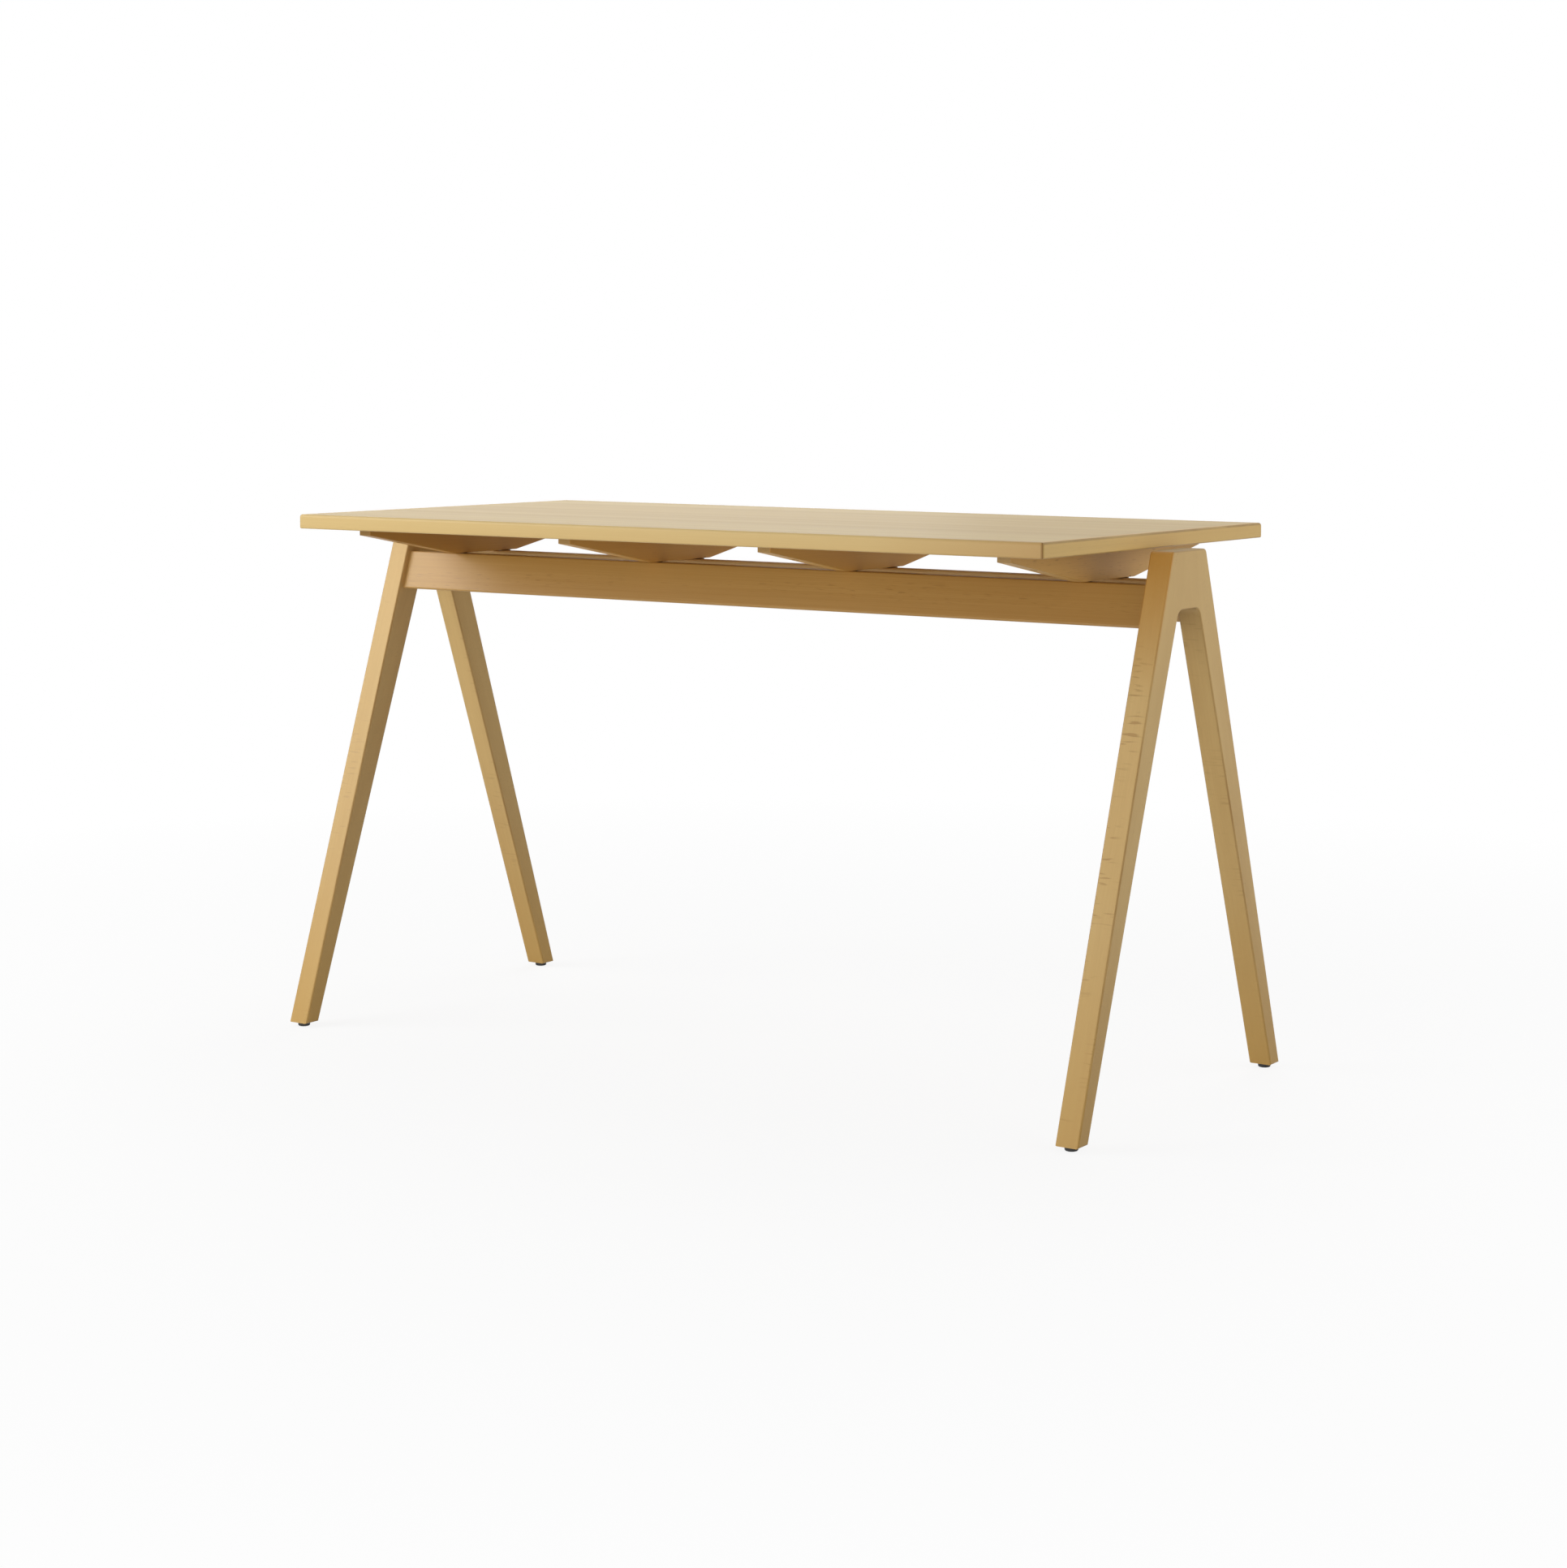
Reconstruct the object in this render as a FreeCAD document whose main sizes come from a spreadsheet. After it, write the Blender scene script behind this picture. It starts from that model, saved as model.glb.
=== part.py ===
import FreeCAD, Part
import math
import os
import Sketcher

# A trestle table whose top tilts up between two A-frames.
# Frame: +X along the length, +Y to the rear, +Z up, origin on the floor under the middle of the top.

doc = FreeCAD.newDocument("TrestleTable")

# Driving sizes in millimetres

SIZES = {
    # top
    "table_height": 735,
    "top_length": 1200,
    "top_depth": 600,
    "top_thickness": 20,
    "sheet_thickness": 0.8,
    "lipping_width": 10,
    "top_edge_radius": 4,
    "under_edge_radius": 2,
    "top_corner_radius": 4.2,
    # A-frames
    "end_gap": 11,
    "frame_thickness": 32,
    "head_width": 93,
    "head_height": 75,
    "head_drop": 1.5,
    "head_corner_radius": 7,
    "arch_width": 56,
    "arch_radius": 15,
    "foot_spread": 562,
    "foot_width": 26,
    "leg_edge_radius": 2.5,
    # cross bearers and rails
    "bearer_length": 506,
    "bearer_thickness": 20,
    "bearer_depth": 43,
    "bearer_end_depth": 9.5,
    "bearer_flat": 136,
    "bearer_curve_radius": 30,
    "bearer_edge_radius": 1,
    "outer_bearer_inset": 81,
    "bearer_pitch": 356,
    "bearer_gap": 1,
    "rail_height": 54,
    "rail_thickness": 20,
    "rail_setback": 8,
    "rail_edge_radius": 2.5,
    # hinges and catches
    "recess_fit": 0.1,
    "leaf_thickness": 1.2,
    "leaf_length": 18,
    "hinge_width": 14,
    "outer_knuckle_width": 4,
    "knuckle_side_gap": 0.3,
    "knuckle_wall": 1,
    "knuckle_clearance": 0.3,
    "pin_diameter": 2.4,
    "pin_running_fit": 0.05,
    "pin_press_fit": 0.01,
    "magnet_diameter": 12,
    "magnet_depth": 10,
    "plate_length": 14,
    "plate_width": 16,
    "plate_thickness": 1.2,
    # dowels
    "dowel_fit": 0.05,
    "dowel_end_room": 1,
    "head_dowel_diameter": 10,
    "head_dowel_length": 40,
    "head_dowel_spacing": 32,
    "rail_dowel_diameter": 8,
    "rail_dowel_length": 50,
    "rail_dowel_in_leg": 20,
    "rail_dowel_spacing": 24,
    # screws
    "screw_fit": 0.05,
    "hinge_screw_diameter": 2.4,
    "hinge_screw_head": 4.6,
    "hinge_screw_length": 12,
    "hinge_screw_spacing": 7,
    "plate_screw_diameter": 2,
    "plate_screw_head": 4,
    "plate_screw_length": 9,
    "bearer_screw_diameter": 4,
    "bearer_screw_head": 8,
    "bearer_screw_head_height": 3,
    "bearer_screw_bite": 12,
    "bearer_screw_grip": 14,
    "bearer_screw_inset": 73,
    "counterbore_room": 1,
    # feet
    "glide_height": 6,
    "glide_diameter": 17,
    "glide_chamfer": 1.5,
    "nail_diameter": 2.6,
    "nail_head_diameter": 7,
    "nail_head_height": 1.2,
    "nail_head_sink": 2,
    "nail_length": 20,
}

sizes = doc.addObject("Spreadsheet::Sheet", "Sizes")
for row, (alias, value) in enumerate(SIZES.items(), start=1):
    sizes.set(f"A{row}", alias)
    sizes.set(f"B{row}", str(value))
    sizes.setAlias(f"B{row}", alias)
doc.recompute()

# Places that follow from the sizes

PLACES = {
    "underside": "Sizes.table_height - Sizes.top_thickness",
    "head_top": "Places.underside - Sizes.head_drop",
    "arch_top": "Places.head_top - Sizes.head_height",
    "leg_lean": "(Sizes.foot_spread - Sizes.head_width) / 2 / (Places.head_top - Sizes.glide_height)",
    "lean_length": "sqrt(1 + Places.leg_lean * Places.leg_lean)",
    "frame_inner": "Sizes.top_length / 2 + Sizes.end_gap",
    "foot_middle": "(Sizes.foot_spread - Sizes.foot_width) / 2",
    "outer_bearer": "Sizes.top_length / 2 - Sizes.outer_bearer_inset",
    "inner_bearer": "Places.outer_bearer - Sizes.bearer_pitch",
    "bearer_bottom": "Places.underside - Sizes.bearer_depth",
    "bearer_end_bottom": "Places.underside - Sizes.bearer_end_depth",
    "rail_top": "Places.bearer_bottom - Sizes.bearer_gap",
    "rail_bottom": "Places.rail_top - Sizes.rail_height",
    "rail_top_edge": "Sizes.head_width / 2 + (Places.head_top - Places.rail_top) * Places.leg_lean"
                     " - Sizes.rail_setback",
    "rail_bottom_edge": "Places.rail_top_edge + Sizes.rail_height * Places.leg_lean",
    "rail_middle": "Places.rail_top_edge - Sizes.rail_thickness / 2",
    "knuckle_radius": "Sizes.pin_diameter / 2 + Sizes.knuckle_wall",
    "knuckle_reach": "Places.knuckle_radius + Sizes.knuckle_clearance",
    "hinge_y": "Places.rail_top_edge + Places.knuckle_reach * Places.lean_length"
               " - Sizes.bearer_gap / 2 * Places.leg_lean",
    "hinge_z": "Places.rail_top + Sizes.bearer_gap / 2",
    "leaf_front": "Places.hinge_y - Sizes.leaf_length",
    "leaf_middle": "Places.hinge_y - (Sizes.leaf_length + Places.knuckle_reach) / 2",
    "leaf_body": "Sizes.leaf_length - Places.knuckle_reach",
    "inner_knuckle_width": "Sizes.hinge_width - 2 * (Sizes.outer_knuckle_width + Sizes.knuckle_side_gap)",
    "screw_seat": "Places.underside - Sizes.bearer_screw_grip",
    "outer_screw": "Sizes.bearer_length / 2 - Sizes.bearer_screw_inset",
    "core_thickness": "Sizes.top_thickness - 2 * Sizes.sheet_thickness",
    "core_length": "Sizes.top_length - 2 * Sizes.lipping_width",
    "core_depth": "Sizes.top_depth - 2 * Sizes.lipping_width",
}

places = doc.addObject("App::VarSet", "Places")
for name, formula in PLACES.items():
    places.addProperty("App::PropertyFloat", name)
    places.setExpression(name, formula)
    doc.recompute()


def number(formula):
    """Return the present value of a formula of sizes and places."""
    return float(sizes.evalExpression(formula))


# Helpers that make shapes bound to the sheet

ALONG_X = FreeCAD.Rotation(FreeCAD.Vector(0, 1, 0), 90)
ALONG_Y = FreeCAD.Rotation(FreeCAD.Vector(1, 0, 0), -90)
UPWARD = FreeCAD.Rotation()
DOWNWARD = FreeCAD.Rotation(FreeCAD.Vector(1, 0, 0), 180)

# Two places, or two directions, this close are the same
SAME_PLACE = 0.01
SAME_DIRECTION = 0.001


def bind(obj, **formulas):
    """Bind properties of an object to formulas."""
    for name, formula in formulas.items():
        obj.setExpression(name, formula)
    return obj


def place(obj, x="0", y="0", z="0", turn=UPWARD):
    """Bind the position of an object to formulas and give it a fixed turn."""
    obj.Placement = FreeCAD.Placement(FreeCAD.Vector(), turn)
    for axis, formula in zip("xyz", (x, y, z)):
        obj.setExpression(f"Placement.Base.{axis}", formula)
    return obj


def box(name, length, width, height, x, y, z):
    """Make a box with its lowest corner at x, y, z."""
    made = bind(doc.addObject("Part::Box", name), Length=length, Width=width, Height=height)
    return place(made, x, y, z)


def cylinder(name, radius, height, x="0", y="0", z="0", turn=UPWARD):
    """Make a cylinder that starts at x, y, z."""
    made = bind(doc.addObject("Part::Cylinder", name), Radius=radius, Height=height)
    return place(made, x, y, z, turn)


def cone(name, radius, far_radius, height, z="0"):
    """Make a cone along Z that starts at z."""
    made = bind(doc.addObject("Part::Cone", name), Radius1=radius, Radius2=far_radius, Height=height)
    return place(made, z=z)


def fuse(name, pieces):
    """Join pieces that touch into one solid."""
    made = doc.addObject("Part::MultiFuse", name)
    made.Shapes = pieces
    made.Refine = True
    return made


def group(name, pieces):
    """Keep several separate solids together."""
    made = doc.addObject("Part::Compound", name)
    made.Links = pieces
    return made


def cut(name, base, tool):
    """Cut a tool out of a base."""
    made = doc.addObject("Part::Cut", name)
    made.Base = base
    made.Tool = tool
    return made


def copies(name, master, spots, turn=UPWARD):
    """Repeat a master piece at several spots, each a triple of formulas."""
    links = []
    for index, spot in enumerate(spots):
        link = doc.addObject("App::Link", f"{name}_copy_{index + 1}")
        link.LinkedObject = master
        links.append(place(link, *spot, turn=turn))
    return group(name, links)


def outline_body(name, plane, points, length, reversed_pad=False):
    """Pad a closed outline, given as pairs of formulas, from one of the body's own origin planes."""
    body = doc.addObject("PartDesign::Body", name)
    sketch = body.newObject("Sketcher::SketchObject", f"{name}_outline")
    sketch.AttachmentSupport = [(next(f for f in body.Origin.OriginFeatures if f.Role == plane), "")]
    sketch.MapMode = "FlatFace"
    corners = [FreeCAD.Vector(number(u), number(v), 0) for u, v in points]
    count = len(corners)
    for index in range(count):
        sketch.addGeometry(Part.LineSegment(corners[index], corners[(index + 1) % count]), False)
    for index in range(count):
        sketch.addConstraint(Sketcher.Constraint("Coincident", index, 2, (index + 1) % count, 1))
    for index, pair in enumerate(points):
        for direction, axis, formula, value in zip("XY", (-2, -1), pair, corners[index]):
            if formula == "0":
                sketch.addConstraint(Sketcher.Constraint("PointOnObject", index, 1, axis))
                continue
            made = sketch.addConstraint(
                Sketcher.Constraint(f"Distance{direction}", -1, 1, index, 1, value))
            sketch.setExpression(f"Constraints[{made}]", formula)
    pad = body.newObject("PartDesign::Pad", f"{name}_pad")
    pad.Profile = sketch
    pad.Reversed = reversed_pad
    bind(pad, Length=length)
    doc.recompute()
    return body


def round_edges(body, radius, wanted):
    """Fillet the edges of a body's tip for which wanted(edge) holds."""
    base = body.Tip
    names = [f"Edge{i}" for i, edge in enumerate(base.Shape.Edges, start=1) if wanted(edge)]
    fillet = body.newObject("PartDesign::Fillet", f"{body.Name}_fillet")
    fillet.Base = (base, names)
    bind(fillet, Radius=radius)
    doc.recompute()
    return fillet


def runs_along(edge, axis):
    """Tell whether a straight edge runs along one axis."""
    if edge.Curve.TypeId != "Part::GeomLine":
        return False
    return 1 - abs(getattr(edge.Curve.Direction, axis)) < SAME_DIRECTION


def lies_at(edge, axis, formula):
    """Tell whether a whole edge lies at one coordinate."""
    box_of_edge = edge.BoundBox
    low = getattr(box_of_edge, f"{axis.upper()}Min")
    high = getattr(box_of_edge, f"{axis.upper()}Max")
    return max(abs(low - number(formula)), abs(high - number(formula))) < SAME_PLACE


nodes = []


def node(obj, label):
    """Name a finished piece."""
    obj.Label = label
    nodes.append(obj)
    return obj


def signed(sign, formula):
    """Put a sign in front of a formula."""
    return f"-({formula})" if sign < 0 else formula


SIDES = (("left", -1), ("right", 1))
ENDS = (("front", -1), ("rear", 1))


# Dowels: in the heads along Y, and at the rail ends along X

def dowel_spots(side):
    """Return the starts of one A-frame's head dowels and rail dowels."""
    head = []
    for level in (-1, 1):
        x = signed(side, "Places.frame_inner + Sizes.frame_thickness / 2")
        z = f"Places.head_top - Sizes.head_height / 2 + {level} * Sizes.head_dowel_spacing / 2"
        head.append((x, "-Sizes.head_dowel_length / 2", z))
    rail = []
    for end in (-1, 1):
        for level in (-1, 1):
            drop = f"(Sizes.rail_height / 2 + {level} * Sizes.rail_dowel_spacing / 2)"
            y = signed(end, f"Places.rail_middle + {drop} * Places.leg_lean")
            start = "Places.frame_inner - Sizes.rail_dowel_length + Sizes.rail_dowel_in_leg"
            if side < 0:
                start = "-Places.frame_inner - Sizes.rail_dowel_in_leg"
            rail.append((start, y, f"Places.rail_top - {drop}"))
    return head, rail


def dowel_set(label, radius, length, spots, turn, axis):
    """Make one set of dowels and the blind holes that hold them, a little longer at both ends."""
    dowel = cylinder(f"{label}_master", radius, length)
    hole = cylinder(f"{label}_hole", f"{radius} + Sizes.dowel_fit", f"{length} + 2 * Sizes.dowel_end_room")
    node(copies(f"{label}_set", dowel, spots, turn), label)
    hole_spots = []
    for spot in spots:
        moved = list(spot)
        moved[axis] = f"{spot[axis]} - Sizes.dowel_end_room"
        hole_spots.append(moved)
    return copies(f"{label}_holes", hole, hole_spots, turn)


dowel_holes = {}
for side_name, side in SIDES:
    head_spots, rail_spots = dowel_spots(side)
    head_holes = dowel_set(f"head_dowels_{side_name}", "Sizes.head_dowel_diameter / 2",
                           "Sizes.head_dowel_length", head_spots, ALONG_Y, 1)
    rail_holes = dowel_set(f"rail_dowels_{side_name}", "Sizes.rail_dowel_diameter / 2",
                           "Sizes.rail_dowel_length", rail_spots, ALONG_X, 0)
    dowel_holes[side] = (head_holes, rail_holes)


# Glides with their nails

nail = fuse("nail_master", [
    cylinder("nail_head", "Sizes.nail_head_diameter / 2", "Sizes.nail_head_height"),
    cylinder("nail_shank", "Sizes.nail_diameter / 2", "Sizes.nail_length"),
])
nail_hole = fuse("nail_hole_master", [
    cylinder("nail_head_hole", "Sizes.nail_head_diameter / 2 + Sizes.screw_fit",
             "Sizes.nail_head_height + Sizes.nail_head_sink", z="-Sizes.nail_head_sink"),
    cylinder("nail_shank_hole", "Sizes.nail_diameter / 2 + Sizes.screw_fit",
             "Sizes.nail_length + Sizes.screw_fit"),
])
foot_spots = {}
for side_name, side in SIDES:
    for end_name, end in ENDS:
        foot_spots[end_name, side_name] = (
            signed(side, "Places.frame_inner + Sizes.frame_thickness / 2"),
            signed(end, "Places.foot_middle"),
            "Sizes.nail_head_sink",
        )
nail_holes = copies("nail_holes", nail_hole, list(foot_spots.values()))
node(copies("nail_set", nail, list(foot_spots.values())), "glide_nails")


def glide(label, x, y):
    """Make one foot glide: a disc with a bevelled lower rim."""
    rim = cone(f"{label}_rim", "Sizes.glide_diameter / 2 - Sizes.glide_chamfer", "Sizes.glide_diameter / 2",
               "Sizes.glide_chamfer")
    disc = cylinder(f"{label}_disc", "Sizes.glide_diameter / 2", "Sizes.glide_height - Sizes.glide_chamfer",
                    z="Sizes.glide_chamfer")
    for piece in (rim, disc):
        bind(piece, **{"Placement.Base.x": x, "Placement.Base.y": y})
    node(cut(f"{label}_cut", fuse(f"{label}_blank", [rim, disc]), nail_holes), label)


for (end_name, side_name), (x, y, z) in foot_spots.items():
    glide(f"glide_{end_name}_{side_name}", x, y)


# Legs, each with its half of the A-frame's head

def leg(end_name, end, side_name, side):
    """Make one leg that tapers to the foot, with rounded head and arch corners."""
    outline = [
        ("0", "Places.head_top"),
        (signed(end, "Sizes.head_width / 2"), "Places.head_top"),
        (signed(end, "Sizes.foot_spread / 2"), "Sizes.glide_height"),
        (signed(end, "Sizes.foot_spread / 2 - Sizes.foot_width"), "Sizes.glide_height"),
        (signed(end, "Sizes.arch_width / 2"), "Places.arch_top"),
        ("0", "Places.arch_top"),
    ]
    name = f"leg_{end_name}_{side_name}"
    body = outline_body(f"{name}_blank", "YZ_Plane", outline, "Sizes.frame_thickness", side < 0)
    for corner, radius in ((1, "Sizes.head_corner_radius"), (4, "Sizes.arch_radius")):
        y, z = outline[corner]
        round_edges(body, radius, lambda e: lies_at(e, "y", y) and lies_at(e, "z", z))
    round_edges(body, "Sizes.leg_edge_radius",
                lambda e: e.BoundBox.XLength < SAME_PLACE and not lies_at(e, "y", "0"))
    place(body, x=signed(side, "Places.frame_inner"))
    holes = group(f"{name}_holes", [*dowel_holes[side], nail_holes])
    return node(cut(f"{name}_cut", body, holes), name)


for side_name, side in SIDES:
    for end_name, end in ENDS:
        leg(end_name, end, side_name, side)


# Hinges at the rear rail and catches at the front rail, one of each at every bearer

BEARER_X = ("-Places.outer_bearer", "-Places.inner_bearer", "Places.inner_bearer", "Places.outer_bearer")


def flat_screw(name, diameter, head, length, head_height, fit="0"):
    """Make a countersunk screw that points along Z, or the hole that takes it."""
    return fuse(name, [
        cone(f"{name}_head", f"{head} / 2 + {fit}", f"{diameter} / 2 + {fit}", head_height),
        cylinder(f"{name}_shank", f"{diameter} / 2 + {fit}", f"{length} + {fit}"),
    ])


def screw_pair(kind, head_height):
    """Make a countersunk screw of one kind and its hole."""
    measures = [f"Sizes.{kind}_screw_{measure}" for measure in ("diameter", "head", "length")]
    screw = flat_screw(f"{kind}_screw", *measures, head_height)
    hole = flat_screw(f"{kind}_screw_hole", *measures, head_height, "Sizes.screw_fit")
    return screw, hole


hinge_screw, hinge_screw_hole = screw_pair("hinge", "Sizes.leaf_thickness")
plate_screw, plate_screw_hole = screw_pair("plate", "Sizes.plate_thickness")

leaf_spots = [(x, f"Places.leaf_middle + {step} * Sizes.hinge_screw_spacing / 2")
              for x in BEARER_X for step in (-1, 1)]
fixed_spots = [(x, y, "Places.rail_top") for x, y in leaf_spots]
moving_spots = [(x, y, "Places.bearer_bottom") for x, y in leaf_spots]
plate_spots = [(x, "-Places.rail_middle", "Places.bearer_bottom") for x in BEARER_X]

node(copies("fixed_screw_set", hinge_screw, fixed_spots, DOWNWARD), "hinge_fixed_screws")
node(copies("moving_screw_set", hinge_screw, moving_spots), "hinge_moving_screws")
node(copies("plate_screw_set", plate_screw, plate_spots), "catch_screws")
fixed_screw_holes = copies("fixed_screw_holes", hinge_screw_hole, fixed_spots, DOWNWARD)
moving_screw_holes = copies("moving_screw_holes", hinge_screw_hole, moving_spots)
plate_screw_holes = copies("plate_screw_holes", plate_screw_hole, plate_spots)


def leaf(label, x, starts, width, leaf_z, pin_fit, screw_holes):
    """Make one hinge leaf: a plate, and a knuckle on a tongue at each start across the hinge."""
    plate = box(f"{label}_plate", "Sizes.hinge_width", "Places.leaf_body", "Sizes.leaf_thickness",
                f"{x} - Sizes.hinge_width / 2", "Places.leaf_front", leaf_z)
    pieces = [plate]
    for index, start in enumerate(starts):
        tongue = box(f"{label}_tongue_{index}", width, "Places.knuckle_reach", "Sizes.leaf_thickness",
                     f"{x} + {start}", "Places.hinge_y - Places.knuckle_reach", leaf_z)
        knuckle = cylinder(f"{label}_knuckle_{index}", "Places.knuckle_radius", width,
                           f"{x} + {start}", "Places.hinge_y", "Places.hinge_z", ALONG_X)
        pieces += [tongue, knuckle]
    bore = cylinder(f"{label}_bore", f"Sizes.pin_diameter / 2 + {pin_fit}", "2 * Sizes.hinge_width",
                    f"{x} - Sizes.hinge_width", "Places.hinge_y", "Places.hinge_z", ALONG_X)
    tools = group(f"{label}_tools", [bore, screw_holes])
    return node(cut(f"{label}_cut", fuse(f"{label}_blank", pieces), tools), label)


OUTER_STARTS = ("-Sizes.hinge_width / 2", "Sizes.hinge_width / 2 - Sizes.outer_knuckle_width")
INNER_STARTS = ("-Places.inner_knuckle_width / 2",)


def recess(name, length, width, depth, x, y, z):
    """Make the tool that lets a flat fitting into wood, with a little room at its sides."""
    return box(name, f"{length} + 2 * Sizes.recess_fit", f"{width} + 2 * Sizes.recess_fit",
               f"{depth} + Sizes.bearer_gap / 2", f"{x} - Sizes.recess_fit", f"{y} - Sizes.recess_fit", z)


rail_recesses = []
magnet_sockets = []
bearer_recesses = {}
for place_number, x in enumerate(BEARER_X, start=1):
    leaf(f"hinge_fixed_leaf_{place_number}", x, OUTER_STARTS, "Sizes.outer_knuckle_width",
         "Places.rail_top - Sizes.leaf_thickness", "Sizes.pin_press_fit", fixed_screw_holes)
    leaf(f"hinge_moving_leaf_{place_number}", x, INNER_STARTS, "Places.inner_knuckle_width",
         "Places.bearer_bottom", "Sizes.pin_running_fit", moving_screw_holes)
    pin = cylinder(f"pin_{place_number}", "Sizes.pin_diameter / 2", "Sizes.hinge_width",
                   f"{x} - Sizes.hinge_width / 2", "Places.hinge_y", "Places.hinge_z", ALONG_X)
    node(pin, f"hinge_pin_{place_number}")
    leaf_corner = (f"{x} - Sizes.hinge_width / 2", "Places.leaf_front")
    leaf_size = ("Sizes.hinge_width", "Sizes.leaf_length", "Sizes.leaf_thickness")
    rail_recesses.append(recess(f"rail_recess_{place_number}", *leaf_size, *leaf_corner,
                                "Places.rail_top - Sizes.leaf_thickness"))
    leaf_recess = recess(f"leaf_recess_{place_number}", *leaf_size, *leaf_corner,
                         "Places.bearer_bottom - Sizes.bearer_gap / 2")

    magnet_z = "Places.rail_top - Sizes.magnet_depth"
    magnet = cylinder(f"magnet_{place_number}", "Sizes.magnet_diameter / 2",
                      "Sizes.magnet_depth + Sizes.bearer_gap", x, "-Places.rail_middle", magnet_z)
    node(magnet, f"catch_magnet_{place_number}")
    magnet_sockets.append(cylinder(
        f"magnet_socket_{place_number}", "Sizes.magnet_diameter / 2 + Sizes.dowel_fit",
        "Sizes.magnet_depth + Sizes.bearer_gap", x, "-Places.rail_middle", magnet_z))
    plate_corner = (f"{x} - Sizes.plate_width / 2", "-Places.rail_middle - Sizes.plate_length / 2")
    plate_size = ("Sizes.plate_width", "Sizes.plate_length", "Sizes.plate_thickness")
    strike = box(f"strike_{place_number}", *plate_size, *plate_corner, "Places.bearer_bottom")
    node(cut(f"strike_cut_{place_number}", strike, plate_screw_holes), f"catch_plate_{place_number}")
    plate_recess = recess(f"plate_recess_{place_number}", *plate_size, *plate_corner,
                          "Places.bearer_bottom - Sizes.bearer_gap / 2")
    bearer_recesses[place_number] = [leaf_recess, plate_recess]


# Rails that lean with the legs

def rail(end_name, end, fitting_holes):
    """Make one rail between the A-frames, with rounded long edges."""
    outline = [
        (signed(end, "Places.rail_top_edge - Sizes.rail_thickness"), "Places.rail_top"),
        (signed(end, "Places.rail_top_edge"), "Places.rail_top"),
        (signed(end, "Places.rail_bottom_edge"), "Places.rail_bottom"),
        (signed(end, "Places.rail_bottom_edge - Sizes.rail_thickness"), "Places.rail_bottom"),
    ]
    name = f"rail_{end_name}"
    body = outline_body(f"{name}_blank", "YZ_Plane", outline, "2 * Places.frame_inner")
    round_edges(body, "Sizes.rail_edge_radius", lambda e: runs_along(e, "x"))
    place(body, x="-Places.frame_inner")
    holes = group(f"{name}_holes", [dowel_holes[-1][1], dowel_holes[1][1], *fitting_holes])
    return node(cut(f"{name}_cut", body, holes), name)


rail("front", -1, magnet_sockets)
rail("rear", 1, [fixed_screw_holes, *rail_recesses])


# Cross bearers, screwed up into the top from counterbored holes

bearer_screw = fuse("bearer_screw", [
    cylinder("bearer_screw_head_disc", "Sizes.bearer_screw_head / 2", "Sizes.bearer_screw_head_height",
             z="-Sizes.bearer_screw_head_height"),
    cylinder("bearer_screw_shank", "Sizes.bearer_screw_diameter / 2",
             "Sizes.bearer_screw_grip + Sizes.bearer_screw_bite"),
])
bearer_screw_hole = fuse("bearer_screw_hole", [
    cylinder("bearer_counterbore", "Sizes.bearer_screw_head / 2 + Sizes.counterbore_room",
             "Sizes.bearer_depth", z="-Sizes.bearer_depth"),
    cylinder("bearer_shank_hole", "Sizes.bearer_screw_diameter / 2 + Sizes.screw_fit",
             "Sizes.bearer_screw_grip + Sizes.bearer_screw_bite + Sizes.screw_fit"),
])
bearer_screw_spots = [(x, f"{step} * Places.outer_screw", "Places.screw_seat")
                      for x in BEARER_X for step in (-1, 0, 1)]
node(copies("bearer_screw_set", bearer_screw, bearer_screw_spots), "bearer_screws")
bearer_screw_holes = copies("bearer_screw_holes", bearer_screw_hole, bearer_screw_spots)

BEARER_OUTLINE = [
    ("-Sizes.bearer_length / 2", "Places.underside"),
    ("Sizes.bearer_length / 2", "Places.underside"),
    ("Sizes.bearer_length / 2", "Places.bearer_end_bottom"),
    ("Sizes.bearer_flat / 2", "Places.bearer_bottom"),
    ("-Sizes.bearer_flat / 2", "Places.bearer_bottom"),
    ("-Sizes.bearer_length / 2", "Places.bearer_end_bottom"),
]


def bearer(place_number, x):
    """Make one bearer: flat over the rails, tapering to both ends, with room for its hinge knuckles."""
    name = f"bearer_{place_number}"
    body = outline_body(f"{name}_blank", "YZ_Plane", BEARER_OUTLINE, "Sizes.bearer_thickness")
    for y, z in BEARER_OUTLINE[3:5]:
        round_edges(body, "Sizes.bearer_curve_radius", lambda e: lies_at(e, "y", y) and lies_at(e, "z", z))
    round_edges(body, "Sizes.bearer_edge_radius",
                lambda e: e.BoundBox.XLength < SAME_PLACE and not lies_at(e, "z", "Places.underside"))
    place(body, x=f"{x} - Sizes.bearer_thickness / 2")
    groove = cylinder(f"{name}_groove", "Places.knuckle_reach", "2 * Sizes.bearer_thickness",
                      f"{x} - Sizes.bearer_thickness", "Places.hinge_y", "Places.hinge_z", ALONG_X)
    tools = group(f"{name}_tools", [groove, *bearer_recesses[place_number], bearer_screw_holes,
                                    moving_screw_holes, plate_screw_holes])
    return node(cut(f"{name}_cut", body, tools), name)


for place_number, x in enumerate(BEARER_X, start=1):
    bearer(place_number, x)


# Top: core between two sheets, with a mitred lipping on every edge

def rectangle(length, depth):
    """Return the corners of a rectangle about the middle, anticlockwise from the front left."""
    corner_signs = ((-1, -1), (1, -1), (1, 1), (-1, 1))
    return [(signed(u, f"{length} / 2"), signed(v, f"{depth} / 2")) for u, v in corner_signs]


TOP_OUTLINE = rectangle("Sizes.top_length", "Sizes.top_depth")
CORE_OUTLINE = rectangle("Places.core_length", "Places.core_depth")


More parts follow.
